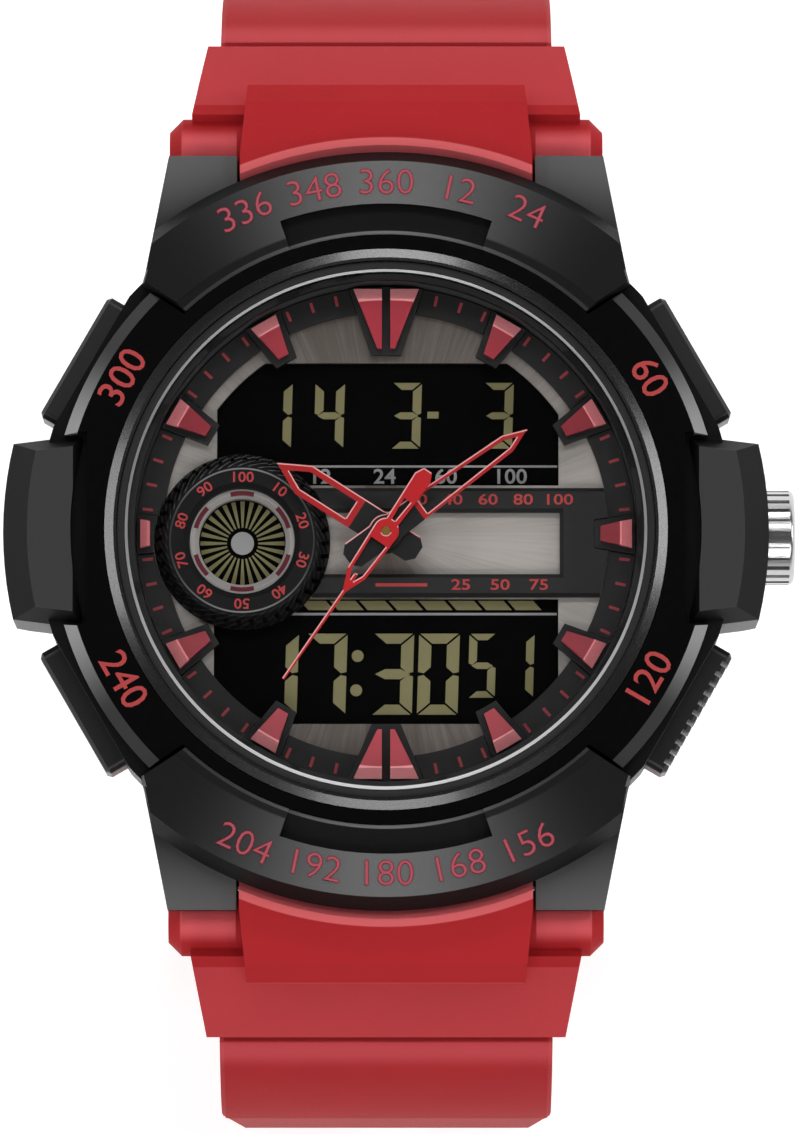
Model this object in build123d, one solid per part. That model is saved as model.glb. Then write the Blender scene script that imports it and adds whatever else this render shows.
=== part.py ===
# Sports wristwatch with hands and a digital display on a moulded resin strap.
# Millimetres. The dial faces +Z, 12 o'clock is +Y and the crown is +X.
# The origin is the centre of the case back's outer face.
import os
from math import asin, cos, degrees, pi, radians, sin, sqrt

from build123d import *

# Clearances and cutting allowances
fit_gap = 0.05
run_gap = 0.03
part_gap = 0.2
overrun = 1.0

# Case
cavity_radius = 17.4
case_wall = 5.8
case_radius = cavity_radius + case_wall
case_foot_slope = 2.3
case_foot_radius = case_radius - case_foot_slope
case_foot_height = 2.2
lip_ledge = 0.7
lip_radius = cavity_radius - lip_ledge
lip_thickness = 0.5
collar_wall = 1.25
collar_radius = cavity_radius + collar_wall
collar_height = 1.1
lug_reach = 2.0
lug_end = case_radius + lug_reach
lug_depth = 8.6
lug_root = lug_end - lug_depth
lug_root_half = 16.2
lug_end_half = 14.5
lug_inner_half = 9.95
lug_underside = 4.4
lug_root_underside = 2.0
horn_half = 8.0
horn_gap = 0.15
guard_reach = 2.3
guard_radius = case_radius + guard_reach
guard_width = 4.55
guard_inner_radius = guard_radius - guard_width
guard_outer_angle = 12.5
guard_inner_angle = 18.0
guard_underside = 3.0
guard_chamfer = 0.8

# Case back and its fixings
back_thickness = 1.4
back_margin = 0.3
back_radius = case_foot_radius - back_margin
back_rim_step = 0.35
back_pad_margin = 4.4
back_pad_radius = back_radius - back_pad_margin
back_groove_margin = 2.8
back_groove_radius = back_pad_radius - back_groove_margin
back_groove_width = 0.5
back_groove_depth = 0.2
back_screw_margin = 1.4
back_screw_circle = back_radius - back_screw_margin
back_screw_angles = (45, 135, 225, 315)
screw_shank_radius = 0.6
screw_shank_length = 3.2
screw_head_radius = 1.0
screw_head_height = 0.6
screw_slot_width = 0.3
screw_slot_depth = 0.25
gasket_margin = 0.65
gasket_radius = cavity_radius + gasket_margin
gasket_width = 0.5
gasket_height = 0.45

# Module stack, from the case back up to the crystal
module_clearance = 0.4
bridge_thickness = 0.5
train_space = 2.2
main_plate_thickness = 0.5
motion_space = 1.5
backlight_thickness = 0.35
display_gap = 0.1
display_thickness = 1.1
dial_gap = 0.15
dial_thickness = 0.5
reflector_height = 3.1
hand_clearance = 2.2
hand_thickness = 0.22
hand_pitch = 0.44
crystal_bed = 0.2
crystal_thickness = 1.1
crystal_radius = cavity_radius - fit_gap

# Bezel
bezel_base_thickness = 0.7
bezel_ring_thickness = 1.5
rim_radius = collar_radius + fit_gap
rim_wall = 0.8
rim_inner_radius = rim_radius - rim_wall
bezel_ring_inner = rim_radius + fit_gap
bezel_ring_chamfer = 0.8
bezel_margin = 0.9
bezel_ring_outer = case_radius - bezel_margin
bezel_ring_flat = bezel_ring_outer - bezel_ring_chamfer
cap_height = 3.0
cap_step = 0.95
cap_inner_radius = bezel_ring_inner + cap_step
cap_inner_slope = 0.8
cap_top_inner = cap_inner_radius + cap_inner_slope
cap_overhang = 1.15
cap_outer_radius = case_radius + cap_overhang
cap_outer_slope = 0.7
cap_top_outer = cap_outer_radius - cap_outer_slope
cap_inner_angle = 43.0
cap_corner_inset = 0.1
cap_corner_radius = case_radius - cap_corner_inset
cap_corner_angle = 45.0
cap_outer_angle = 37.0
cap_side_draft = 5.0
cap_recess_angle = 19.0
cap_recess_width = 1.95
cap_recess_radius = cap_inner_radius + cap_recess_width
cap_recess_depth = 1.0
guard_height = 2.4
guard_top_slope = 1.7
guard_top_outer = guard_radius - guard_top_slope
guard_side_draft = 20.0
rim_height = 1.45
rim_flat = 0.2
rim_drop = 0.3

# Push buttons and crown
control_level = 6.6
button_angles = {"button_2": 30, "button_10": 150, "button_8": 210, "button_4": 330}
ribbed_button = "button_4"
button_proud = 0.9
button_face = case_radius + button_proud
button_flat_drop = 1.45
button_flat = button_face - button_flat_drop
button_width = 9.3
button_height = 4.6
button_thickness = 2.1
button_edge = 0.5
button_travel = 0.8
button_well_gap = 0.15
button_rib_count = 11
button_rib_depth = 0.45
button_rib_share = 0.45
stem_radius = 0.85
stem_reach = 0.9
stem_end = cavity_radius - stem_reach
spring_outer = 1.35
spring_inner = 1.0
spring_bore = 1.5
spring_length = 2.9
seal_outer = 1.2
seal_inner = 0.9
seal_width = 0.5
seal_depth = 0.6
seal_place = cavity_radius + seal_depth
clip_radius = 1.5
clip_core = 0.65
clip_thickness = 0.25
clip_depth = 0.5
clip_place = cavity_radius - clip_depth
crown_radius = 3.15
crown_proud = 1.8
crown_face = guard_radius + crown_proud
crown_length = 3.6
crown_edge = 0.35
crown_flute_count = 24
crown_flute_depth = 0.22
crown_flute_share = 0.42
crown_skirt_radius = 1.5
crown_skirt_depth = 2.1
crown_stem_radius = 0.7
crown_stem_reach = 2.15
crown_stem_end = cavity_radius - crown_stem_reach
crown_groove_inset = 0.45
crown_groove_place = crown_stem_end + crown_groove_inset
crown_groove_width = 0.4
crown_groove_radius = 0.4
crown_tube_radius = 1.3
crown_tube_inset = 0.5
crown_tube_start = cavity_radius + crown_tube_inset
crown_tube_margin = 1.0
crown_tube_end = guard_radius - crown_tube_margin
crown_recess_gap = 0.3
lever_thickness = 0.3
lever_half = 1.5
lever_drop = 1.7
crown_seal_gap = 0.1
crown_seal_place = crown_tube_end + crown_seal_gap
crown_seal_width = 0.5

# Dial furniture
dial_margin = 0.1
dial_radius = cavity_radius - dial_margin
window_top = 11.55
window_bottom = 3.33
window_left = -11.3
window_right = 11.53
window_corner_radius = 14.1
lower_window_top = -4.27
lower_window_bottom = -12.65
lower_window_half = 11.5
lower_corner_radius = 15.0
post_hole_radius = 1.25
chapter_margin = 0.1
chapter_outer = lip_radius - chapter_margin
chapter_width = 1.7
chapter_inner = chapter_outer - chapter_width
chapter_thickness = 0.5
reflector_inner = lip_radius - fit_gap
reflector_slope = 0.3
reflector_top_inner = reflector_inner + reflector_slope
bar_height = 0.9
bar_edge = 0.25
upper_bar_low = 1.47
upper_bar_high = 3.1
lower_bar_high = -2.67
lower_bar_low = -4.2
bar_left = -5.0
lower_bar_left = -5.7
bar_block_left = 11.6
bar_corner = 0.9
marker_seat_border = 0.4
marker_seat_height = 0.8
marker_height = 0.9
marker_margin = 0.2
marker_outer = chapter_outer - marker_margin
marker_length = 2.7
marker_inner = marker_outer - marker_length
marker_inner_width = 0.75
marker_outer_width = 1.9
marker_facet = 0.7
marker_break = marker_outer - marker_facet
marker_slope = 0.35
pair_length = 4.0
pair_inner = marker_outer - pair_length
pair_gap = 0.28
pair_tip_width = 0.3
pair_outer_width = 1.9
lower_pair_length = 3.3
lower_pair_inner = marker_outer - lower_pair_length
short_marker_length = 0.65
short_marker_inner = marker_outer - short_marker_length
right_marker_length = 2.1
right_marker_inner = marker_outer - right_marker_length
subdial_x = -9.6
subdial_y = -0.5
tyre_radius = 5.87
tyre_bore = 3.55
tyre_height = 1.75
tyre_shoulder = 0.75
tyre_flat = 0.35
tyre_tread_count = 40
tyre_tread_width = 0.3
tyre_tread_depth = 0.6
tyre_tread_slant = 25.0
wheel_rim_inner = 2.9
wheel_rim_height = 0.9
wheel_rim_slope = 0.3

# Hands, as the wearer reads them: degrees clockwise from 12
hour_angle = 302.5
minute_angle = 54.0
second_angle = 214.7
hour_length = 8.6
hour_shoulder = 6.5
hour_half = 1.1
hour_window_start = 2.75
hour_tail = 2.6
minute_length = 11.6
minute_shoulder = 10.0
minute_root_half = 0.96
minute_tip_half = 0.63
minute_window_start = 2.95
minute_tail = 3.2
hand_border = 0.42
minute_border = 0.3
tail_half = 0.95
tail_corner = 0.5
hand_hub = 1.35
second_length = 12.0
second_hub = 0.87
second_waist = 3.45
second_waist_half = 0.7
second_point = 4.9
second_needle_half = 0.12
second_tip_half = 0.08
second_tail = 4.9
second_tail_shoulder = 4.3
second_tail_half = 0.62
second_tail_slot = 2.5
second_border = 0.26

# Going train and motion work
seconds_module = 0.172
third_module = 0.09
motor_module = 0.09
minute_module = 0.13
wheel_thickness = 0.3
pinion_height = 0.7
rotor_tooth_count = 6
intermediate_tooth_count = 36
intermediate_pinion_tooth_count = 6
seconds_tooth_count = 30
seconds_pinion_tooth_count = 8
third_tooth_count = 60
third_pinion_tooth_count = 8
centre_tooth_count = 64
cannon_tooth_count = 12
minute_tooth_count = 36
minute_pinion_tooth_count = 10
hour_tooth_count = 40
addendum_share = 1.0
dedendum_share = 1.25
tooth_root_share = 0.30
tooth_tip_share = 0.10
arbor_radius = 0.16
seconds_arbor_radius = 0.28
cannon_radius = 0.62
hour_pipe_radius = 0.95
minute_post_radius = 0.3
third_direction = 60.0
motor_direction = -60.0
minute_direction = 150.0
rotor_magnet_radius = 0.7
stator_thickness = 0.3
stator_half = 1.05
stator_arm = 1.1
coil_distance = 9.3
coil_length = 9.0
coil_radius = 0.9
coil_core_radius = 0.4

# Electronics in the module
frame_margin = 0.15
frame_outer = cavity_radius - frame_margin
frame_wall = 1.8
frame_inner = frame_outer - frame_wall
frame_shelf = 1.2
frame_shelf_inner = frame_inner - frame_shelf
frame_shelf_thickness = 0.6
frame_slot = 3.6
plate_margin = 0.1
plate_radius = frame_inner - plate_margin
display_margin = 0.45
display_radius = frame_inner - display_margin
backlight_margin = 0.2
backlight_radius = display_radius - backlight_margin
backlight_half = 12.2
arbor_hole = 1.3
board_thickness = 0.6
board_window = 6.9
board_drop = 0.15
strip_half = 4.5
strip_width = 0.9
strip_place = 12.9
battery_radius = 6.25
battery_thickness = 1.6
battery_distance = 9.0
battery_direction = 195.0
clamp_width = 3.0
clamp_thickness = 0.15
chip_size = 4.0
chip_height = 0.8
chip_x = 7.5
chip_y = 8.5
tuning_can_radius = 0.7
tuning_can_length = 5.0
tuning_can_x = 11.8
tuning_can_y = 1.5
buzzer_radius = 5.5
buzzer_thickness = 0.2
buzzer_x = -4.5
buzzer_y = 8.2
contact_radius = 0.6

# Strap: hinge, block and band
hinge_reach = 0.7
hinge_y = lug_end + hinge_reach
hinge_z = 7.6
barrel_radius = 2.2
barrel_half = lug_end_half
barrel_chamfer = 0.9
bar_pin_radius = 0.75
bar_pin_tip_radius = 0.4
bar_pin_tip = 0.5
bar_pin_end_gap = 0.6
block_side_gap = 0.2
block_half = lug_inner_half - block_side_gap
block_taper = 0.5
block_end_half = block_half - block_taper
block_gap = 0.4
block_underside = 10.45
block_edge_low = 10.9
block_top = 12.0
block_length = 4.1
block_rear = hinge_y + block_length
block_rear_drop = 0.9
block_rear_slope = 1.2
heel_gap = 0.1
heel_height = 1.0
heel_depth = 1.3
heel_outer_half = 13.6
heel_width = 4.1
heel_inner_half = heel_outer_half - heel_width
strap_overhang = 12.8
strap_reach = hinge_y + strap_overhang
strap_level = -9.0
segment_inset = 2.3
segment_start = hinge_y + segment_inset
segment_start_level = 9.6
segment_length = 5.2
segment_end = segment_start + segment_length
segment_start_half = 13.0
segment_taper = 1.0
segment_end_half = segment_start_half - segment_taper
segment_groove = 0.5
pad_height = 0.6
pad_end_angle = 9.0
band_start_angle = 48.0
band_thickness = 2.6
band_half = 11.15
band_taper = 1.15
band_end_half = band_half - band_taper
band_end_level = -34.0
buckle_drop = 6.0
buckle_bend = 26.0
buckle_bend_angle = 50.0
buckle_run = 16.0
tip_drop = 25.2
tip_bend = 28.0
tip_run = 31.8
hole_count = 9
hole_pitch = 6.0
hole_first = 9.0
hole_half = 1.5
hole_along = 2.2
groove_count = 4
groove_width = 1.2
groove_depth = 0.5

# Buckle and keeper
buckle_hang = -90.0
pin_radius = 0.75
end_loop_radius = 2.0
tongue_half = 0.9
tongue_slot_half = 1.25
tongue_slot_reach = 4.2
frame_side_inner = 10.3
frame_side_outer = 12.6
frame_height = 2.3
frame_window_end = 9.6
frame_length = 12.4
frame_back = 1.6
frame_corner = 1.6
tongue_thickness = 1.1
tongue_eye = 1.6
tongue_reach = 11.8
tongue_lift_gap = 0.08
keeper_length = 5.0
keeper_wall = 1.3
keeper_corner = 0.95
keeper_gap = 0.25
keeper_place = 9.0

# Levels worked out from the stack
bridge_low = back_thickness + module_clearance
bridge_top = bridge_low + bridge_thickness
plate_low = bridge_top + train_space
plate_top = plate_low + main_plate_thickness
backlight_low = plate_top + motion_space
backlight_top = backlight_low + backlight_thickness
display_low = backlight_top + display_gap
display_top = display_low + display_thickness
dial_low = display_top + dial_gap
dial_top = dial_low + dial_thickness
lip_low = dial_top + reflector_height
collar_top = lip_low + lip_thickness
case_top = collar_top - collar_height
crystal_low = collar_top + crystal_bed
crystal_top = crystal_low + crystal_thickness
bezel_floor = case_top + bezel_base_thickness
hour_hand_low = dial_top + hand_clearance
minute_hand_low = hour_hand_low + hand_pitch
second_hand_low = minute_hand_low + hand_pitch
seat_top = dial_top + marker_seat_height


def disc(radius, low, high):
    return extrude(Pos(0, 0, low) * Circle(radius), amount=high - low)


def ring(outer, inner, low, high):
    return extrude(Pos(0, 0, low) * (Circle(outer) - Circle(inner)), amount=high - low)


def outline(points):
    return make_face(Polyline(*points, close=True))


def slab(face, low, high):
    return extrude(Pos(0, 0, low) * face, amount=high - low)


def polar(radius, angle):
    return (radius * cos(radians(angle)), radius * sin(radians(angle)))


def block(x_low, x_high, y_low, y_high, z_low, z_high):
    size = (x_high - x_low, y_high - y_low, z_high - z_low)
    middle = Pos((x_low + x_high) / 2, (y_low + y_high) / 2, (z_low + z_high) / 2)
    return middle * Box(*size)


def revolved(profile, arc=360.0):
    """Turn a profile of (radius, level) points about Z, centred on the +X direction."""
    solid = revolve(Plane.XZ * outline(profile), axis=Axis.Z, revolution_arc=arc)
    return Rot(0, 0, -arc / 2) * solid if arc < 360.0 else solid


def rod_x(radius, start, end, y=0.0, z=0.0):
    """A round bar along X."""
    face = Plane.YZ * Pos(y, z) * Circle(radius)
    return Pos(start, 0, 0) * extrude(face, amount=end - start)


def radial(shape, angle):
    return Rot(0, 0, angle) * shape


def joined(shapes):
    shapes = list(shapes)
    return shapes[0] if len(shapes) == 1 else shapes[0].fuse(*shapes[1:])


def group(shapes):
    return Compound(children=[solid for shape in shapes for solid in shape.solids()])


def save(name, shape):
    export_step(shape, f"parts/{name}.step")


def guard_plan(grow=0.0):
    """Plan of a side guard, wider at the dial side, on the +X side."""
    inner = guard_inner_radius - grow
    outer = guard_radius + overrun
    widen = degrees(grow / inner)
    outer_angle = guard_outer_angle + widen
    inner_angle = guard_inner_angle + widen
    corners = [polar(inner, -inner_angle), polar(outer, -outer_angle)]
    corners += [polar(outer, outer_angle), polar(inner, inner_angle)]
    return outline(corners)


def cap_plan(grow=0.0):
    """Plan of an end cap on the +X side, before it is turned to 12 or 6."""
    inner = cap_inner_radius - grow
    outer = cap_outer_radius + overrun
    widen = degrees(grow / inner)
    inner_angle = cap_inner_angle + widen
    outer_angle = cap_outer_angle + widen
    corner_angle = cap_corner_angle + widen
    near = [(0, 0), polar(inner, -inner_angle), polar(cap_corner_radius, -corner_angle)]
    near.append(polar(outer, -outer_angle))
    reach = outer / cos(radians(outer_angle / 2))
    far = [polar(reach, 0), polar(outer, outer_angle), polar(cap_corner_radius, corner_angle)]
    return outline(near + far + [polar(inner, inner_angle)])


def button_pocket(angle):
    """Space that one push button needs in the case wall."""
    half = button_width / 2 + part_gap
    tall = button_height / 2 + part_gap
    floor = button_face - button_thickness - button_travel - button_well_gap
    pocket = block(floor, guard_radius, -half, half, control_level - tall, control_level + tall)
    outer = block(button_flat, guard_radius, -half - overrun, half + overrun, 0, case_top + overrun)
    well = rod_x(spring_bore, floor - spring_length + button_travel + button_well_gap, floor + overrun,
                 z=control_level)
    bore = rod_x(stem_radius + run_gap, lip_radius, guard_radius, z=control_level)
    seal = rod_x(seal_outer + fit_gap, seal_place - fit_gap, seal_place + seal_width + fit_gap,
                 z=control_level)
    return [radial(shape, angle) for shape in (pocket, outer, well, bore, seal)]


def lug_lobes():
    """The four wings that stand beside the strap hinges."""
    side = [(lug_inner_half, lug_root), (lug_root_half, lug_root)]
    side += [(lug_end_half, lug_end), (lug_inner_half, lug_end)]
    plan = slab(outline(side), 0, case_top)
    profile = [(lug_root, lug_root_underside), (lug_root, case_top), (lug_end, case_top)]
    profile += [(lug_end, lug_underside), (lug_end - barrel_radius, lug_root_underside + part_gap)]
    lobe = plan & extrude(Plane.YZ * outline(profile), amount=case_radius)
    lobe = joined([lobe, mirror(lobe, about=Plane.YZ)])
    return joined([lobe, mirror(lobe, about=Plane.XZ)])


def horn(side):
    """Centre horn that carries the spring bar of one strap half, with a web to the lugs."""
    low, high = hinge_z - barrel_radius, hinge_z + barrel_radius
    web_half = lug_inner_half + part_gap
    root = block(-horn_half, horn_half, lug_root, hinge_y, low, high)
    web = block(-web_half, web_half, lug_root, hinge_y - barrel_radius - horn_gap, low, high)
    knuckle = rod_x(barrel_radius, -horn_half, horn_half, hinge_y, hinge_z)
    return Rot(0, 0, 0 if side > 0 else 180) * joined([root, web, knuckle])


def make_case_body():
    foot = back_thickness + case_foot_height
    wall = [(0, back_thickness), (case_foot_radius, back_thickness), (case_radius, foot)]
    body = revolved(wall + [(case_radius, case_top), (0, case_top)])
    guard = slab(guard_plan() & Circle(guard_radius), guard_underside, case_top)
    guard = chamfer(guard.faces().sort_by(Axis.Z)[0].edges().sort_by(Axis.X)[-1], guard_chamfer)
    body = joined([body, guard, Rot(0, 0, 180) * guard, lug_lobes(), horn(1), horn(-1)])
    body = joined([body, disc(collar_radius, case_top - fit_gap, collar_top)])
    cuts = [disc(cavity_radius, 0, lip_low), disc(lip_radius, lip_low - overrun, collar_top + overrun)]
    for angle in button_angles.values():
        cuts += button_pocket(angle)
    for side in (1, -1):
        cuts.append(rod_x(bar_pin_radius + fit_gap / 2, -horn_half - overrun, horn_half + overrun,
                          side * hinge_y, hinge_z))
        for end in (1, -1):
            start, stop = sorted((end * horn_half, end * (barrel_half + overrun)))
            cuts.append(rod_x(barrel_radius + horn_gap, start, stop, side * hinge_y, hinge_z))
    recess = crown_face - crown_length - crown_recess_gap
    cuts.append(rod_x(crown_radius + crown_recess_gap, recess, crown_face, z=control_level))
    cuts.append(rod_x(crown_tube_radius + fit_gap, lip_radius, crown_face, z=control_level))
    groove = ring(gasket_radius + gasket_width / 2 + fit_gap, gasket_radius - gasket_width / 2 - fit_gap,
                  0, back_thickness + gasket_height + fit_gap)
    cuts.append(groove)
    screw = disc(screw_shank_radius + fit_gap / 2, 0, back_thickness + screw_shank_length)
    for angle in back_screw_angles:
        cuts.append(radial(Pos(back_screw_circle, 0, 0) * screw, angle))
    return body - cuts


def make_case_back():
    plate = disc(back_radius, back_rim_step, back_thickness)
    pad = disc(back_pad_radius, 0, back_rim_step + fit_gap)
    plate = plate.fuse(pad)
    groove = ring(back_groove_radius + back_groove_width / 2, back_groove_radius - back_groove_width / 2,
                  -overrun, back_groove_depth)
    cuts = [groove]
    hole = disc(screw_shank_radius + fit_gap, -overrun, back_thickness + overrun)
    head = disc(screw_head_radius + fit_gap, -overrun, back_rim_step + screw_head_height)
    for angle in back_screw_angles:
        cuts.append(radial(Pos(back_screw_circle, 0, 0) * hole.fuse(head), angle))
    return plate - cuts


def make_back_screws():
    head_top = back_rim_step + screw_head_height
    head = disc(screw_head_radius, back_rim_step, head_top)
    shank = disc(screw_shank_radius, head_top - fit_gap, back_thickness + screw_shank_length - fit_gap)
    slot = block(-screw_head_radius, screw_head_radius, -screw_slot_width / 2, screw_slot_width / 2,
                 0, back_rim_step + screw_slot_depth)
    screw = head.fuse(shank) - slot
    return group(radial(Pos(back_screw_circle, 0, 0) * screw, angle) for angle in back_screw_angles)


def make_back_gasket():
    half = gasket_width / 2
    return ring(gasket_radius + half, gasket_radius - half, back_thickness, back_thickness + gasket_height)


def end_cap():
    """Raised cap at one end of the dial, on the +X side, with a sunk tab in its middle."""
    cap_top = case_top + cap_height
    inner_drop = cap_top_inner - cap_inner_radius
    profile = [(cap_inner_radius, case_top), (cap_inner_radius, cap_top - inner_drop)]
    profile += [(cap_top_inner, cap_top), (cap_top_outer, cap_top), (cap_outer_radius, case_top)]
    body = revolved(profile, 2 * cap_corner_angle + cap_side_draft)
    wedge = extrude(Pos(0, 0, case_top) * cap_plan(), amount=cap_height, taper=cap_side_draft)
    body = body & wedge
    recess = ring(cap_recess_radius, cap_inner_radius - overrun, cap_top - cap_recess_depth,
                  cap_top + overrun)
    spread = cap_recess_radius / cos(radians(cap_recess_angle))
    tab = outline([(0, 0), polar(spread, -cap_recess_angle), polar(spread, cap_recess_angle)])
    return body - (recess & slab(tab, case_top, cap_top + overrun))


def side_guard():
    guard_top = case_top + guard_height
    profile = [(guard_inner_radius, case_top), (guard_inner_radius, guard_top)]
    profile += [(guard_top_outer, guard_top), (guard_radius, case_top)]
    body = revolved(profile, 2 * guard_inner_angle + guard_side_draft)
    return body & extrude(Pos(0, 0, case_top) * guard_plan(), amount=guard_height, taper=guard_side_draft)


def make_bezel_shroud():
    base = ring(case_radius, bezel_ring_inner, case_top, bezel_floor)
    for angle in button_angles.values():
        flat = block(button_flat, guard_radius, -button_width, button_width, case_top - overrun, crystal_top)
        base = base - radial(flat, angle)
    pieces = [base, side_guard(), Rot(0, 0, 180) * side_guard()]
    pieces += [Rot(0, 0, 90) * end_cap(), Rot(0, 0, -90) * end_cap()]
    shroud = joined(pieces)
    recess = crown_face - crown_length - crown_recess_gap
    return shroud - rod_x(crown_radius + crown_recess_gap, recess, crown_face, z=control_level)


def make_bezel_ring():
    top = bezel_floor + bezel_ring_thickness
    profile = [(bezel_ring_inner, bezel_floor), (bezel_ring_inner, top), (bezel_ring_flat, top)]
    profile += [(bezel_ring_outer, top - bezel_ring_chamfer), (bezel_ring_outer, bezel_floor)]
    body = revolved(profile)
    inside = disc(cap_inner_radius - fit_gap, bezel_floor - overrun, top + overrun)
    cap_space = slab(cap_plan(fit_gap), bezel_floor - overrun, top + overrun) - inside
    guard_space = slab(guard_plan(fit_gap), bezel_floor - overrun, top + overrun)
    return body - [Rot(0, 0, 90) * cap_space, Rot(0, 0, -90) * cap_space, guard_space,
                   Rot(0, 0, 180) * guard_space]


def make_crystal_rim():
    top = collar_top + rim_height
    profile = [(rim_inner_radius, collar_top), (rim_inner_radius, top), (rim_inner_radius + rim_flat, top)]
    profile += [(rim_radius, top - rim_drop), (rim_radius, collar_top)]
    return revolved(profile)


def make_crystal_gasket():
    outer = rim_inner_radius - fit_gap
    inner = crystal_radius + fit_gap
    bed = lip_radius + fit_gap
    top = crystal_top - part_gap
    profile = [(bed, collar_top), (outer, collar_top), (outer, top), (inner, top)]
    return revolved(profile + [(inner, crystal_low), (bed, crystal_low)])


def make_crystal():
    glass = disc(crystal_radius, crystal_low, crystal_top)
    return chamfer(glass.faces().sort_by(Axis.Z)[-1].edges(), crystal_bed)


def make_reflector_ring():
    top = lip_low - fit_gap
    profile = [(reflector_inner, dial_top), (dial_radius, dial_top), (dial_radius, top)]
    return revolved(profile + [(reflector_top_inner, top)])


def push_button(name, angle):
    """A push button with its stem, modelled on +X and turned to its place."""
    half = button_width / 2
    tall = button_height / 2
    low = control_level - tall
    back = button_face - button_thickness
    cap = block(back, button_face, -half, half, low, low + button_height)
    cap = fillet(cap.edges().filter_by(Axis.X), button_edge)
    cap = chamfer(cap.faces().sort_by(Axis.X)[-1].edges(), button_edge / 2)
    if name == ribbed_button:
        pitch = (button_width - 2 * button_edge) / button_rib_count
        width = pitch * button_rib_share
        for index in range(button_rib_count):
            place = -half + button_edge + pitch * (index + 0.5)
            cap = cap - block(button_face - button_rib_depth, button_face + overrun, place - width / 2,
                              place + width / 2, low - overrun, low + button_height + overrun)
    stem = rod_x(stem_radius, stem_end, back + fit_gap, z=control_level)
    neck = ring(stem_radius + overrun, clip_core - fit_gap, 0, clip_thickness + 2 * run_gap)
    neck = Pos(clip_place - run_gap, 0, control_level) * Rot(0, 90, 0) * neck
    return radial(cap.fuse(stem - neck), angle)


def make_button_springs():
    """Return springs round the four stems, as plain sleeves."""
    start = button_face - button_thickness - spring_length
    sleeve = rod_x(spring_outer, start, start + spring_length, z=control_level)
    sleeve = sleeve - rod_x(spring_inner, start - overrun, crown_face, z=control_level)
    return group(radial(sleeve, angle) for angle in button_angles.values())


def button_clip(angle):
    """Open snap ring on the inner end of a button's stem."""
    body = rod_x(clip_radius, clip_place, clip_place + clip_thickness, z=control_level)
    body = body - rod_x(clip_core, clip_place - overrun, clip_place + overrun, z=control_level)
    mouth_half = clip_core * sin(pi / 4)
    mouth = block(clip_place - overrun, clip_place + overrun, -mouth_half, mouth_half,
                  control_level - clip_radius, control_level)
    return radial(body - mouth, angle)


def make_button_seals():
    seal = rod_x(seal_outer, seal_place, seal_place + seal_width, z=control_level)
    seal = seal - rod_x(seal_inner, seal_place - overrun, seal_place + overrun, z=control_level)
    return group(radial(seal, angle) for angle in button_angles.values())


def make_crown():
    """Fluted crown with its winding stem."""
    start = crown_face - crown_length
    knob = rod_x(crown_radius, start, crown_face, z=control_level)
    knob = fillet(knob.edges(), crown_edge)
    flute_width = 2 * pi * crown_radius / crown_flute_count * crown_flute_share
    for index in range(crown_flute_count):
        flute = block(start - overrun, crown_face - crown_edge, -flute_width / 2, flute_width / 2,
                      crown_radius - crown_flute_depth, crown_radius + overrun)
        knob = knob - Pos(0, 0, control_level) * Rot(360 * index / crown_flute_count, 0, 0) * flute
    knob = knob - rod_x(crown_skirt_radius, start - overrun, start + crown_skirt_depth, z=control_level)
    stem = rod_x(crown_stem_radius, crown_stem_end, start + crown_skirt_depth + fit_gap, z=control_level)
    groove = ring(crown_stem_radius + overrun, crown_groove_radius, 0, crown_groove_width)
    groove = Pos(crown_groove_place, 0, control_level) * Rot(0, 90, 0) * groove
    return knob.fuse(stem - groove)


def make_crown_tube():
    tube = rod_x(crown_tube_radius, crown_tube_start, crown_tube_end, z=control_level)
    return tube - rod_x(crown_stem_radius + run_gap, crown_tube_start - overrun, crown_face, z=control_level)


def make_setting_lever():
    """Forked lever that rides in the stem's groove and follows the crown in and out."""
    low = control_level - lever_drop
    start = crown_groove_place + (crown_groove_width - lever_thickness) / 2
    body = block(start, start + lever_thickness, -lever_half, lever_half, low,
                 control_level + crown_groove_radius)
    bore = rod_x(crown_groove_radius + fit_gap, start - overrun, start + overrun, z=control_level)
    mouth = block(start - overrun, start + overrun, -crown_groove_radius - fit_gap,
                  crown_groove_radius + fit_gap, control_level, control_level + overrun)
    return body - [bore, mouth]


def over_subdial(shape):
    return Pos(subdial_x, subdial_y, 0) * shape


def window_plans():
    """Plans of the two display windows, cut back round the subdial."""
    upper = outline([(window_left, window_bottom), (window_right, window_bottom),
                     (window_right, window_top), (window_left, window_top)])
    lower = outline([(-lower_window_half, lower_window_bottom), (lower_window_half, lower_window_bottom),
                     (lower_window_half, lower_window_top), (-lower_window_half, lower_window_top)])
    seat = over_subdial(Circle(tyre_radius - part_gap))
    return (upper & Circle(window_corner_radius)) - seat, (lower & Circle(lower_corner_radius)) - seat


def make_dial_plate():
    upper, lower = window_plans()
    low, high = dial_low - overrun, dial_top + overrun
    cuts = [slab(upper, low, high), slab(lower, low, high), disc(post_hole_radius, low, high)]
    cuts.append(over_subdial(disc(wheel_rim_inner, low, high)))
    return disc(dial_radius, dial_low, dial_top) - cuts


def marker_layout():
    """Clockwise angle, plan kind and inner radius of each hour marker."""
    places = [(30 * hour, "single", marker_inner) for hour in (1, 2, 4, 5, 7, 8, 10, 11)]
    places += [(90, "single", right_marker_inner), (270, "single", short_marker_inner)]
    return places + [(0, "pair", pair_inner), (180, "pair", lower_pair_inner)]


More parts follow.
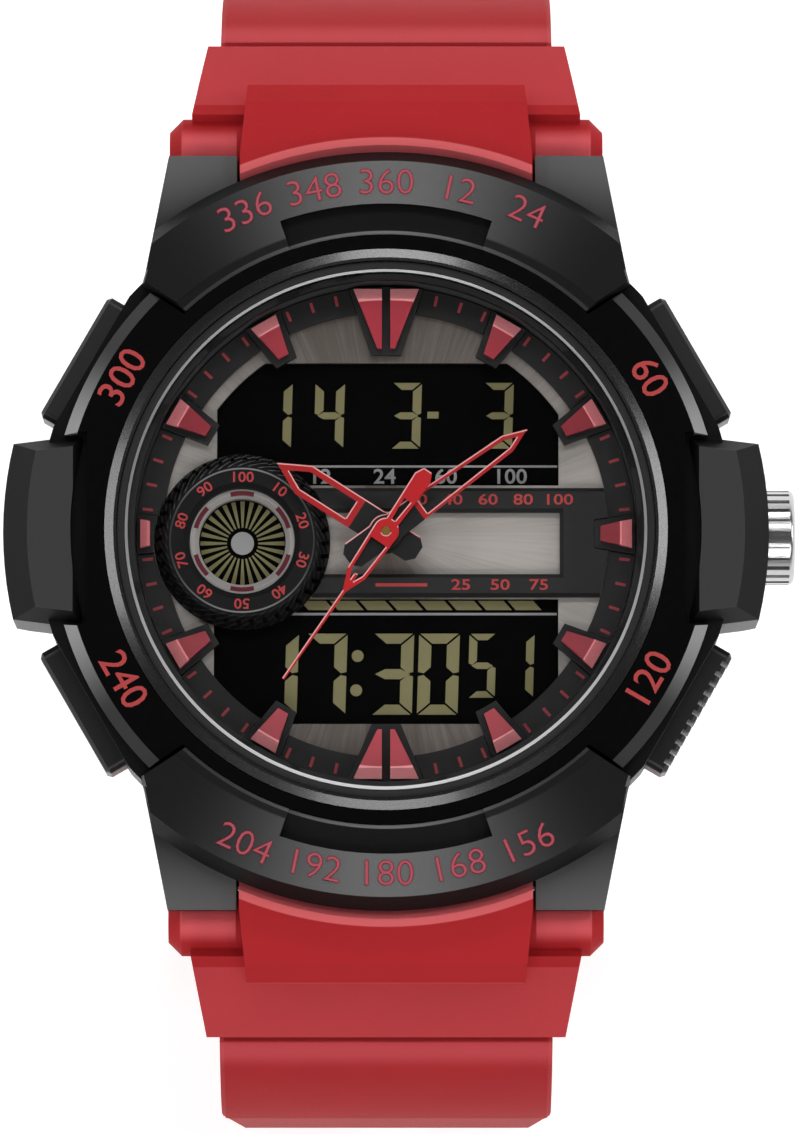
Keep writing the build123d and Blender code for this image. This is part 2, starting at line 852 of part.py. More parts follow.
def marker_plans(kind, inner, border=0.0):
    """Plans of one marker pointing along +Y; with a border they give its seat."""
    if kind == "single":
        share = (inner - marker_inner) / (marker_outer - marker_inner)
        half = (marker_inner_width + (marker_outer_width - marker_inner_width) * share) / 2 + border
        outer_half = marker_outer_width / 2 + border
        low, high = inner - border, marker_outer + border / 2
        return [outline([(-half, low), (half, low), (outer_half, high), (-outer_half, high)])]
    if border:
        tip = pair_gap + pair_tip_width + border
        outer_half = pair_gap + pair_outer_width + border
        low, high = inner - border, marker_outer + border / 2
        return [outline([(-tip, low), (tip, low), (outer_half, high), (-outer_half, high)])]
    right = outline([(pair_gap, inner), (pair_gap + pair_tip_width, inner),
                     (pair_gap + pair_outer_width, marker_outer), (pair_gap, marker_outer)])
    return [right, mirror(right, about=Plane.YZ)]


def marker_seat(angle, kind, inner, grow=0.0):
    plan = marker_plans(kind, inner, marker_seat_border + grow)[0]
    return Rot(0, 0, -angle) * slab(plan, dial_top, seat_top)


def make_marker_seats():
    edge = disc(chapter_outer, dial_top, seat_top)
    tyre = over_subdial(disc(tyre_radius + fit_gap, dial_top, seat_top))
    return group((marker_seat(*place) & edge) - tyre for place in marker_layout())


def make_hour_markers():
    """Two-facet markers that stand on their seats."""
    top = seat_top + marker_height
    markers = []
    for angle, kind, inner in marker_layout():
        ridge = max(marker_break, inner + marker_slope / 2)
        side = [(inner, seat_top), (inner, top - marker_slope), (ridge, top)]
        side += [(marker_outer, top - marker_slope), (marker_outer, seat_top)]
        prism = extrude(Plane.YZ * outline(side), amount=marker_outer, both=True)
        for plan in marker_plans(kind, inner):
            markers.append(Rot(0, 0, -angle) * (slab(plan, seat_top, top) & prism))
    return group(markers)


def make_chapter_ring():
    body = ring(chapter_outer, chapter_inner, dial_top, dial_top + chapter_thickness)
    cuts = [marker_seat(angle, kind, inner, fit_gap) for angle, kind, inner in marker_layout()]
    cuts.append(over_subdial(disc(tyre_radius + fit_gap, dial_top, seat_top)))
    return body - cuts


def make_dial_frame():
    """Black bars that frame the brushed window between the two displays."""
    upper = [(bar_left, upper_bar_low), (bar_block_left, upper_bar_low), (bar_block_left, lower_bar_high)]
    lower = [(lower_bar_left + bar_corner, lower_bar_high), (lower_bar_left, lower_bar_low)]
    right = [(chapter_inner, lower_bar_low), (chapter_inner, upper_bar_high)]
    plan = outline(upper + lower + right + [(bar_left, upper_bar_high)]) & Circle(chapter_inner - fit_gap)
    seat = marker_plans("single", right_marker_inner, marker_seat_border + fit_gap)[0]
    seat = Rot(0, 0, -90) * slab(seat, dial_top - overrun, dial_top + bar_height + overrun)
    body = slab(plan, dial_top, dial_top + bar_height)
    body = chamfer(body.faces().sort_by(Axis.Z)[-1].edges().filter_by(GeomType.LINE), bar_edge)
    tyre = over_subdial(disc(tyre_radius + fit_gap, dial_top - overrun, dial_top + tyre_height))
    return body - seat - tyre


def make_subdial_tyre():
    """Tyre-shaped bezel of the subdial, with a tread round its shoulder."""
    top = dial_top + tyre_height
    profile = [(tyre_bore, dial_top), (tyre_bore, top - tyre_flat), (tyre_bore + tyre_flat, top)]
    profile += [(tyre_radius - tyre_shoulder, top), (tyre_radius - tyre_flat / 2, top - tyre_shoulder)]
    body = revolved(profile + [(tyre_radius, dial_top + tyre_flat), (tyre_radius, dial_top)])
    tread = block(-tyre_tread_depth, overrun, -tyre_tread_width / 2, tyre_tread_width / 2,
                  dial_top + tyre_flat, top)
    tread = Pos(tyre_radius, 0, 0) * Rot(0, 0, tyre_tread_slant) * tread
    treads = [Rot(0, 0, 360 * n / tyre_tread_count) * tread for n in range(tyre_tread_count)]
    return over_subdial(body - treads)


def make_subdial_rim():
    outer = tyre_bore - fit_gap
    top = dial_top + wheel_rim_height
    profile = [(wheel_rim_inner, dial_top), (wheel_rim_inner, top - wheel_rim_slope)]
    profile += [(wheel_rim_inner + wheel_rim_slope, top), (outer, top), (outer, dial_top)]
    return over_subdial(revolved(profile))


def hand_tail(reach):
    side = [(tail_half, 0), (tail_half, tail_corner - reach), (tail_half - tail_corner, -reach)]
    return outline(side + [(-x, y) for x, y in reversed(side)])


def pointed(root, root_half, shoulder, shoulder_half, tip):
    """Arrow outline along +Y, from its root to its point."""
    side = [(root_half, root), (shoulder_half, shoulder)]
    return outline(side + [(0, tip)] + [(-x, y) for x, y in reversed(side)])


def seated_hand(plan, angle, low, bore):
    body = slab(plan - Circle(bore + fit_gap / 2), low, low + hand_thickness)
    return Rot(0, 0, -angle) * body


def make_hour_hand():
    blade = pointed(0, hour_half, hour_shoulder, hour_half, hour_length)
    window = pointed(hour_window_start - hand_border, hour_half, hour_shoulder, hour_half, hour_length)
    plan = blade + hand_tail(hour_tail) + Circle(hand_hub)
    plan = plan - offset(window, amount=-hand_border, kind=Kind.INTERSECTION)
    return seated_hand(plan, hour_angle, hour_hand_low, hour_pipe_radius)


def make_minute_hand():
    blade = pointed(0, minute_root_half, minute_shoulder, minute_tip_half, minute_length)
    window = pointed(minute_window_start - minute_border, minute_root_half, minute_shoulder,
                     minute_tip_half, minute_length)
    plan = blade + hand_tail(minute_tail) + Circle(hand_hub - part_gap)
    plan = plan - offset(window, amount=-minute_border, kind=Kind.INTERSECTION)
    return seated_hand(plan, minute_angle, minute_hand_low, cannon_radius)


def make_second_hand():
    """Slotted sweep hand with a slotted counterweight."""
    arrow = pointed(0, second_hub, second_waist, second_waist_half, second_point + second_border)
    needle = outline([(second_needle_half, second_waist), (second_tip_half, second_length),
                      (-second_tip_half, second_length), (-second_needle_half, second_waist)])
    slot = offset(pointed(second_hub - second_border, second_hub, second_waist, second_waist_half,
                          second_point), amount=-second_border, kind=Kind.INTERSECTION)
    tail_side = [(second_hub / 2, 0), (second_tail_half, -second_tail_shoulder)]
    tail_side += [(second_tail_half / 2, -second_tail)]
    tail = outline(tail_side + [(-x, y) for x, y in reversed(tail_side)])
    tail_slot = outline([(second_border / 2, -second_hub), (second_border, -second_tail_slot),
                         (-second_border, -second_tail_slot), (-second_border / 2, -second_hub)])
    plan = (arrow - slot) + needle + (tail - tail_slot) + Circle(second_hub)
    return seated_hand(plan, second_angle, second_hand_low, seconds_arbor_radius)


# Places and levels in the gear train
level_one = bridge_top + wheel_thickness
level_two = level_one + 2 * wheel_thickness
level_three = level_two + 2 * wheel_thickness
minute_wheel_low = plate_top + wheel_thickness / 2
hour_wheel_low = minute_wheel_low + pinion_height
third_distance = third_module * (third_tooth_count + seconds_pinion_tooth_count) / 2
intermediate_distance = seconds_module * (seconds_tooth_count + intermediate_pinion_tooth_count) / 2
rotor_distance = intermediate_distance + motor_module * (rotor_tooth_count + intermediate_tooth_count) / 2
minute_distance = minute_module * (cannon_tooth_count + minute_tooth_count) / 2
centre_pinion_module = 2 * third_distance / (centre_tooth_count + third_pinion_tooth_count)
hour_module = 2 * minute_distance / (hour_tooth_count + minute_pinion_tooth_count)
third_place = polar(third_distance, third_direction)
intermediate_place = polar(intermediate_distance, motor_direction)
rotor_place = polar(rotor_distance, motor_direction)
minute_place = polar(minute_distance, minute_direction)
pillar_circle = 5.9
rotor_pillar_circle = 4.6
pillar_places = ((pillar_circle, 10), (pillar_circle, 110), (rotor_pillar_circle, -115))
pillar_radius = 0.5


def gear(teeth, module, low, high, phase):
    """Toothed disc with one tooth centred on the phase angle."""
    pitch = teeth * module / 2
    tip = pitch + module * addendum_share
    root = pitch - module * dedendum_share
    step = 360 / teeth
    points = []
    for index in range(teeth):
        middle = phase + step * index
        points += [polar(root, middle - step * tooth_root_share), polar(tip, middle - step * tooth_tip_share)]
        points += [polar(tip, middle + step * tooth_tip_share), polar(root, middle + step * tooth_root_share)]
    return slab(outline(points), low, high)


def facing_gap(direction, teeth):
    """Phase that puts a tooth gap towards the gear that lies back along the direction."""
    return direction + 180 + 180 / teeth


def at(place, shape):
    return Pos(place[0], place[1], 0) * shape


def make_seconds_wheel():
    wheel = gear(seconds_tooth_count, seconds_module, level_one, level_one + wheel_thickness, motor_direction)
    pinion = gear(seconds_pinion_tooth_count, third_module, level_one + wheel_thickness - fit_gap,
                  level_two + wheel_thickness + fit_gap, third_direction)
    arbor = disc(seconds_arbor_radius, bridge_low + fit_gap, second_hand_low + hand_thickness + fit_gap)
    return wheel.fuse(pinion, arbor)


def make_third_wheel():
    wheel = gear(third_tooth_count, third_module, level_two, level_two + wheel_thickness,
                 facing_gap(third_direction, third_tooth_count))
    pinion = gear(third_pinion_tooth_count, centre_pinion_module, level_two + wheel_thickness - fit_gap,
                  level_three + wheel_thickness + fit_gap, third_direction + 180)
    arbor = disc(arbor_radius, bridge_low + fit_gap, plate_top - fit_gap)
    return at(third_place, wheel.fuse(pinion, arbor))


def make_centre_wheel():
    """Centre wheel, cannon tube and cannon pinion in one turning piece."""
    wheel = gear(centre_tooth_count, centre_pinion_module, level_three, level_three + wheel_thickness,
                 third_direction + 180 / centre_tooth_count)
    pinion = gear(cannon_tooth_count, minute_module, plate_top + fit_gap,
                  minute_wheel_low + wheel_thickness + fit_gap,
                  minute_direction)
    tube = disc(cannon_radius, level_three, minute_hand_low + hand_thickness + fit_gap)
    bore = disc(seconds_arbor_radius + fit_gap, level_three - overrun, crystal_low)
    return wheel.fuse(pinion, tube) - bore


def make_minute_wheel():
    wheel = gear(minute_tooth_count, minute_module, minute_wheel_low, minute_wheel_low + wheel_thickness,
                 facing_gap(minute_direction, minute_tooth_count))
    pinion = gear(minute_pinion_tooth_count, hour_module, minute_wheel_low + wheel_thickness - fit_gap,
                  hour_wheel_low + wheel_thickness + fit_gap, minute_direction + 180)
    bore = disc(minute_post_radius + run_gap, plate_top, display_low)
    return at(minute_place, wheel.fuse(pinion) - bore)


def make_hour_wheel():
    wheel = gear(hour_tooth_count, hour_module, hour_wheel_low, hour_wheel_low + wheel_thickness,
                 minute_direction + 180 / hour_tooth_count)
    pipe = disc(hour_pipe_radius, hour_wheel_low, hour_hand_low + hand_thickness + fit_gap)
    return wheel.fuse(pipe) - disc(cannon_radius + fit_gap, plate_top, crystal_low)


def make_intermediate_wheel():
    wheel = gear(intermediate_tooth_count, motor_module, level_two, level_two + wheel_thickness,
                 motor_direction)
    pinion = gear(intermediate_pinion_tooth_count, seconds_module, level_one - fit_gap, level_two + fit_gap,
                  facing_gap(motor_direction, intermediate_pinion_tooth_count))
    arbor = disc(arbor_radius, bridge_low + fit_gap, plate_top - fit_gap)
    return at(intermediate_place, wheel.fuse(pinion, arbor))


def make_rotor():
    pinion = gear(rotor_tooth_count, motor_module, level_two - fit_gap, level_two + wheel_thickness + fit_gap,
                  facing_gap(motor_direction, rotor_tooth_count))
    magnet = disc(rotor_magnet_radius, level_one - part_gap, level_two - fit_gap)
    arbor = disc(arbor_radius, bridge_low + fit_gap, plate_top - fit_gap)
    return at(rotor_place, pinion.fuse(magnet, arbor))


def make_stator():
    """Flat iron yoke that carries the field from the coil to the rotor."""
    arm = coil_length / 2 + stator_arm
    inner = rotor_distance - stator_half
    outer = coil_distance - coil_core_radius - fit_gap
    bar = block(inner, rotor_distance + stator_half, -arm, arm, level_one, level_one + stator_thickness)
    side = block(inner, outer, coil_length / 2, arm, level_one, level_one + stator_thickness)
    body = joined([bar, side, mirror(side, about=Plane.XZ)])
    hole = Pos(rotor_distance, 0, 0) * disc(rotor_magnet_radius + part_gap, 0, display_low)
    return radial(body - hole, motor_direction)


def make_coil():
    """Wound bobbin beside the rotor, whose core closes the stator's two arms."""
    level = level_one + stator_thickness / 2
    winding = rod_x(coil_radius, -coil_length / 2 + part_gap, coil_length / 2 - part_gap, z=level)
    core = rod_x(coil_core_radius, -coil_length / 2 - stator_arm, coil_length / 2 + stator_arm, z=level)
    flat = Rot(0, 0, 90) * winding.fuse(core)
    return radial(Pos(coil_distance, 0, 0) * flat, motor_direction)


def arbor_holes(low, high):
    hole = disc(arbor_radius + run_gap, low, high)
    return [at(place, hole) for place in (third_place, intermediate_place, rotor_place)]


def battery_place():
    return polar(battery_distance, battery_direction)


def make_train_bridge():
    body = disc(board_window - part_gap, bridge_low, bridge_top)
    cuts = arbor_holes(bridge_low - overrun, bridge_top + overrun)
    cuts.append(disc(seconds_arbor_radius + run_gap, bridge_low - overrun, bridge_top + overrun))
    cuts.append(at(battery_place(), disc(battery_radius + part_gap, bridge_low - overrun, display_low)))
    return body - cuts


def make_main_plate():
    body = disc(plate_radius, plate_low, plate_top)
    pillar = disc(pillar_radius, bridge_top, plate_low + fit_gap)
    pillars = [at(polar(*place), pillar) for place in pillar_places]
    post = at(minute_place, disc(minute_post_radius, plate_top - fit_gap, hour_wheel_low + pinion_height / 2))
    cuts = arbor_holes(plate_low - overrun, plate_top + overrun)
    cuts.append(disc(cannon_radius + run_gap, plate_low - overrun, plate_top + overrun))
    for side in (1, -1):
        cuts.append(strip_block(side, part_gap, plate_low - overrun, plate_top + overrun))
    return joined([body, post] + pillars) - cuts


def strip_block(side, grow, low, high):
    half = strip_width / 2 + grow
    return block(-strip_half - grow, strip_half + grow, side * strip_place - half, side * strip_place + half,
                 low, high)


board_low = plate_low - board_drop - board_thickness


def make_connector_strips():
    top = board_low + board_thickness
    return group([strip_block(1, 0.0, top, display_low), strip_block(-1, 0.0, top, display_low)])


def make_circuit_board():
    body = disc(plate_radius, board_low, board_low + board_thickness)
    stem = block(crown_stem_end - lever_half, plate_radius + overrun, -frame_slot / 2, frame_slot / 2,
                 board_low - overrun, plate_top)
    return body - [disc(board_window, board_low - overrun, plate_top), stem]


def make_controller_chip():
    half = chip_size / 2
    body = block(-half, half, -half, half, board_low - chip_height, board_low)
    return Pos(chip_x, chip_y, 0) * body


def make_tuning_can():
    """Metal can of the quartz crystal."""
    can = Rot(0, 0, 90) * rod_x(tuning_can_radius, -tuning_can_length / 2, tuning_can_length / 2)
    return Pos(tuning_can_x, tuning_can_y, board_low - tuning_can_radius - fit_gap) * can


battery_low = bridge_low + part_gap


def make_battery():
    """Coin cell with its smaller negative cap towards the board."""
    step = battery_thickness / 4
    can = disc(battery_radius, battery_low, battery_low + battery_thickness - step)
    cap = disc(battery_radius - 2 * step, battery_low, battery_low + battery_thickness)
    return at(battery_place(), can.fuse(cap))


def make_battery_clamp():
    low = battery_low - clamp_thickness - fit_gap / 2
    body = block(-battery_radius, battery_radius, -clamp_width / 2, clamp_width / 2, low,
                 low + clamp_thickness)
    return at(battery_place(), Rot(0, 0, battery_direction) * body)


def make_buzzer():
    return Pos(buzzer_x, buzzer_y, 0) * disc(buzzer_radius, back_thickness, back_thickness + buzzer_thickness)


def make_buzzer_spring():
    """Contact spring between the board and the buzzer, as a plain sleeve."""
    sleeve = ring(contact_radius, contact_radius / 2, back_thickness + buzzer_thickness, board_low)
    return Pos(buzzer_x, buzzer_y, 0) * sleeve


def make_backlight():
    body = disc(backlight_radius, backlight_low, backlight_top)
    body = body & block(-display_radius, display_radius, -backlight_half, backlight_half, backlight_low,
                        display_low)
    return body - disc(arbor_hole, backlight_low - overrun, display_low)


def make_display_panel():
    return disc(display_radius, display_low, display_top) - disc(arbor_hole, display_low - overrun, dial_low)


def make_module_frame():
    """Moulded ring that holds the plate, board, backlight and display."""
    body = ring(frame_outer, frame_inner, bridge_low, dial_low)
    shelf = ring(frame_inner + fit_gap, frame_shelf_inner, backlight_low - frame_shelf_thickness - fit_gap,
                 backlight_low)
    body = body.fuse(shelf)
    slot = block(frame_shelf_inner - overrun, guard_radius, -frame_slot / 2, frame_slot / 2,
                 control_level - frame_slot / 2, backlight_low + frame_slot / 2)
    return body - [radial(slot, angle) for angle in list(button_angles.values()) + [0]]


# The strap's outer line starts with one round bend that ends straight down
bend_rise = segment_start_level - strap_level
bend_inset = strap_reach - segment_start
shoulder_radius = (bend_rise ** 2 + bend_inset ** 2) / (2 * bend_inset)
shoulder_angle = degrees(asin(bend_rise / shoulder_radius))
shoulder_y = strap_reach - shoulder_radius
band_radius = shoulder_radius - pad_height
segment_end_angle = degrees(asin(sqrt(1 - ((segment_end - shoulder_y) / shoulder_radius) ** 2)))


def walk(steps):
    """Follow straight runs and right-hand bends; each span is its start, middle and end stations."""
    y = shoulder_y + band_radius * cos(radians(band_start_angle))
    z = strap_level + band_radius * sin(radians(band_start_angle))
    heading = band_start_angle - 90
    spans = []
    for kind, size, turn in steps:
        start = (y, z, heading)
        if kind == "bend":
            centre_y = y + size * sin(radians(heading))
            centre_z = z - size * cos(radians(heading))
            stations = []
            for share in (0.5, 1.0):
                angle = heading - turn * share
                place_y = centre_y - size * sin(radians(angle))
                place_z = centre_z + size * cos(radians(angle))
                stations.append((place_y, place_z, angle))
            middle, end = stations
        else:
            end = (y + size * cos(radians(heading)), z + size * sin(radians(heading)), heading)
            middle = None
        spans.append((start, middle, end))
        y, z, heading = end
    return spans


def beside(station, rise):
    """Point at a distance from a station, square to the path, outwards positive."""
    y, z, heading = station
    return (y - rise * sin(radians(heading)), z + rise * cos(radians(heading)))


def band_face(spans, rise, depth):
    """Side outline of a band that follows the spans from depth inside the line to rise outside it."""
    edges = []
    for start, middle, end in spans:
        for level in (rise, -depth):
            if middle:
                edges.append(ThreePointArc(beside(start, level), beside(middle, level), beside(end, level)))
            else:
                edges.append(Line(beside(start, level), beside(end, level)))
    first, last = spans[0][0], spans[-1][2]
    edges.append(Line(beside(first, rise), beside(first, -depth)))
    edges.append(Line(beside(last, rise), beside(last, -depth)))
    return make_face(edges)


def across(face, half):
    """Extrude a side outline to both sides of the strap's middle."""
    return extrude(Plane.YZ * face, amount=half, both=True)


def pad_face(start_angle, end_angle, inner, outer):
    """Side outline of a raised pad on the shoulder bend."""
    middle_angle = (start_angle + end_angle) / 2

    def on(radius, angle):
        y, z = polar(radius, angle)
        return (shoulder_y + y, strap_level + z)

    return make_face([
        ThreePointArc(on(outer, start_angle), on(outer, middle_angle), on(outer, end_angle)),
        Line(on(outer, end_angle), on(inner, end_angle)),
        ThreePointArc(on(inner, end_angle), on(inner, middle_angle), on(inner, start_angle)),
        Line(on(inner, start_angle), on(outer, start_angle))])


def strap_shoulder():
    """Hinge barrels, centre block, stop heels and the wide first segment."""
    barrel = rod_x(barrel_radius, -barrel_half, barrel_half, hinge_y, hinge_z)
    barrel = chamfer(barrel.edges(), barrel_chamfer)
    inner = band_radius - band_thickness
    segment = across(pad_face(shoulder_angle, segment_end_angle, inner, shoulder_radius), segment_start_half)
    taper = [(segment_start_half, hinge_y), (segment_start_half, segment_start)]
    taper += [(segment_end_half, segment_end), (segment_end_half, strap_reach)]
    segment = segment & slab(outline(taper + [(-x, y) for x, y in reversed(taper)]), strap_level, block_top)
    groove_angle = degrees(segment_groove / shoulder_radius)
    pad = across(pad_face(segment_end_angle - groove_angle, pad_end_angle, inner, shoulder_radius), band_half)
    sides_of_pad = pad.faces().sort_by(Axis.X)
    pad = chamfer(sides_of_pad[-1].edges() + sides_of_pad[0].edges(), pad_height / 2)
    rear = segment_start + part_gap
    profile = [(lug_root, block_underside), (lug_root, block_top), (block_rear - block_rear_slope, block_top)]
    profile += [(block_rear, block_top - block_rear_drop), (block_rear, hinge_z), (rear, hinge_z)]
    body = across(outline(profile + [(rear, block_underside)]), block_half)
    sides = [(block_half, lug_root), (block_half, lug_end), (block_end_half, block_rear)]
    body = body & slab(outline(sides + [(-x, y) for x, y in reversed(sides)]), 0, crystal_top)
    wall = cap_outer_radius
    flare = block_top + overrun - block_edge_low
    cone = revolved([(0, 0), (wall, 0), (wall, block_edge_low), (wall + flare, block_top + overrun),
                     (0, block_top + overrun)])
    body = body - Pos(0, block_gap, 0) * cone
    stop = lug_end + heel_gap
    heel = [(stop, hinge_z - barrel_radius + part_gap), (stop, hinge_z - barrel_radius - heel_height)]
    heel += [(stop + heel_depth, hinge_z - barrel_radius - heel_height)]
    heel += [(stop + heel_depth + heel_height, hinge_z - barrel_radius / 2)]
    heels = extrude(Plane.YZ * outline(heel), amount=heel_outer_half - heel_inner_half)
    heels = Pos(heel_inner_half, 0, 0) * heels
    return joined([barrel, segment, pad, body, heels, mirror(heels, about=Plane.YZ)]) - hinge_space()


def hinge_space():
    """Room in a strap half for the case horn and the spring bar."""
    clear = horn_half + horn_gap
    space = rod_x(barrel_radius + horn_gap, -clear, clear, hinge_y, hinge_z)
    under = block(-clear, clear, lug_root, hinge_y, 0, block_underside)
    bore_half = barrel_half - bar_pin_end_gap
    bore = rod_x(bar_pin_radius + fit_gap, -bore_half, bore_half, hinge_y, hinge_z)
    return [space, under, bore]


def strap_band(spans, low):
    """Tapering band of one strap half, with a grooved inner face."""
    body = across(band_face(spans, 0.0, band_thickness), band_half)
    side = [(band_half, hinge_z + shoulder_radius), (band_half, strap_level)]
    side += [(band_end_half, band_end_level), (band_end_half, low)]
    taper = outline(side + [(-x, z) for x, z in reversed(side)])
    body = body & extrude(Plane.XZ * taper, amount=2 * strap_reach, both=True)
    inner = strap_reach - pad_height - band_thickness
    pitch = buckle_drop / groove_count * 2
    for index in range(groove_count):
        level = strap_level + pitch * (1 - index)
        body = body - block(-band_half, band_half, inner - overrun, inner + groove_depth,
                            level - groove_width / 2, level + groove_width / 2)
    return body


def buckle_steps():
    return [("bend", band_radius, band_start_angle), ("run", buckle_drop, 0.0),
            ("bend", buckle_bend, buckle_bend_angle), ("run", buckle_run, 0.0)]


def tip_steps():
    return [("bend", band_radius, band_start_angle), ("run", tip_drop, 0.0),
            ("bend", tip_bend, 90.0), ("run", tip_run, 0.0)]


# Ground under the strap, and the place and direction of the strap's buckle end
ground = beside(walk(tip_steps())[-1][2], 0.0)[1]
buckle_end = walk(buckle_steps())[-1][2]
pin_y, pin_z = beside(buckle_end, -band_thickness / 2)
end_heading = buckle_end[2]
print(f"ground {ground:.2f}  pin {pin_y:.2f} {pin_z:.2f}  heading {end_heading:.1f}")


def at_end(shape, heading):
    """Place a shape drawn with +Y along the strap and +Z outwards at the buckle pin."""
    return Pos(0, pin_y, pin_z) * Rot(heading, 0, 0) * shape


def make_buckle_strap():
    body = joined([strap_shoulder(), strap_band(walk(buckle_steps()), ground)])
    loop = rod_x(end_loop_radius, -band_end_half, band_end_half)
    body = body.fuse(at_end(loop, end_heading))
    bore = rod_x(pin_radius + fit_gap, -band_half, band_half)
    slot = block(-tongue_slot_half, tongue_slot_half, -tongue_slot_reach, end_loop_radius + overrun,
                 -tongue_slot_reach, tongue_slot_reach)
    return body - [at_end(bore, end_heading), at_end(slot, end_heading)]


def along(spans, distance):
    """Station at a distance back from the end of the spans."""
    for start, middle, end in reversed(spans):
        if middle:
            turn = start[2] - end[2]
            chord = sqrt((end[0] - start[0]) ** 2 + (end[1] - start[1]) ** 2)
            radius = chord / (2 * sin(radians(turn / 2)))
            length = radius * radians(turn)
        else:
            length = sqrt((end[0] - start[0]) ** 2 + (end[1] - start[1]) ** 2)
        if distance <= length:
            break
        distance -= length
    if not middle:
        y, z, heading = end
        return (y - distance * cos(radians(heading)), z - distance * sin(radians(heading)), heading)
    centre = beside(end, -radius)
    heading = end[2] + degrees(distance / radius)
    return (centre[0] - radius * sin(radians(heading)), centre[1] + radius * cos(radians(heading)), heading)


def make_tip_strap():
    """The long strap half, drawn towards +Y and mirrored to the 6 o'clock side."""
    spans = walk(tip_steps())
    body = joined([strap_shoulder(), strap_band(spans, ground - overrun)])
    nose_y = spans[-1][2][0] + band_end_half
    plan = Pos(0, nose_y + strap_reach) * Rectangle(2 * barrel_half, 2 * strap_reach)
    plan = plan + Pos(0, nose_y) * Circle(band_end_half)
    body = body & slab(plan, ground - overrun, crystal_top)
    hole = block(-hole_half, hole_half, -hole_along / 2, hole_along / 2, -2 * band_thickness, band_thickness)
    for index in range(hole_count):
        y, z, heading = along(spans, hole_first + hole_pitch * index)
        body = body - Pos(0, y, z) * Rot(heading, 0, 0) * hole
    return mirror(body, about=Plane.XZ)


def make_spring_bar(side):
    """Spring bar through the case horn, with a thin sprung tip at each end."""
    shoulder = barrel_half - bar_pin_end_gap - bar_pin_tip - fit_gap
    body = rod_x(bar_pin_radius, -shoulder, shoulder, side * hinge_y, hinge_z)
    tips = rod_x(bar_pin_tip_radius, -shoulder - bar_pin_tip, shoulder + bar_pin_tip, side * hinge_y, hinge_z)
    return body.fuse(tips)


def make_buckle_frame():
    """Open frame whose arms hold the pin, drawn hanging from it."""
    plan = [(-frame_side_outer, -frame_back), (-frame_side_outer, frame_length)]
    plan += [(frame_side_outer, frame_length), (frame_side_outer, -frame_back)]
    body = slab(outline(plan), -frame_height / 2, frame_height / 2)
    corners = body.edges().filter_by(Axis.Z).group_by(Axis.Y)[-1]
    body = fillet(corners, frame_corner)
    window = block(-frame_side_inner, frame_side_inner, -frame_back - overrun, frame_window_end,
                   -frame_height, frame_height)
    body = body - window
    body = chamfer(body.faces().sort_by(Axis.Z)[-1].edges(), bar_edge)
    hole = rod_x(pin_radius + run_gap / 2, -frame_side_outer - overrun, frame_side_outer + overrun)
    return at_end(body - hole, buckle_hang)


def make_buckle_pin():
    return at_end(rod_x(pin_radius, -frame_side_outer, frame_side_outer), buckle_hang)


def make_buckle_tongue():
    """Tongue that turns on the pin and rests on the frame's end bar."""
    rest = frame_height / 2 + tongue_lift_gap
    eye = rod_x(tongue_eye, -tongue_half, tongue_half)
    side = [(0, 0), (0, tongue_eye), (tongue_eye, rest + tongue_thickness)]
    side.append((tongue_reach, rest + tongue_thickness))
    side += [(tongue_reach, rest), (frame_window_end - overrun, rest), (tongue_eye, rest - tongue_thickness)]
    shank = across(outline(side), tongue_half)
    bore = rod_x(pin_radius + fit_gap, -tongue_half - overrun, tongue_half + overrun)
    return at_end(eye.fuse(shank) - bore, buckle_hang)


def make_strap_keeper():
    """Loose loop that slides on the buckle half and holds the strap's tip."""
    inner_half = band_end_half + keeper_gap
    low = -band_thickness / 2 - keeper_gap
    high = band_thickness / 2 + band_thickness + keeper_gap
    back, front = -keeper_place - keeper_length / 2, -keeper_place + keeper_length / 2
    outer = block(-inner_half - keeper_wall, inner_half + keeper_wall, back, front, low - keeper_wall,
                  high + keeper_wall)
    outer = fillet(outer.edges().filter_by(Axis.Y), keeper_corner)
    inner = block(-inner_half, inner_half, back - overrun, front + overrun, low, high)
    return at_end(outer - inner, end_heading)


def make_crown_seal():
    seal = ring(crown_skirt_radius - fit_gap, crown_stem_radius + fit_gap, 0, crown_seal_width)
    return Pos(crown_seal_place, 0, control_level) * Rot(0, 90, 0) * seal


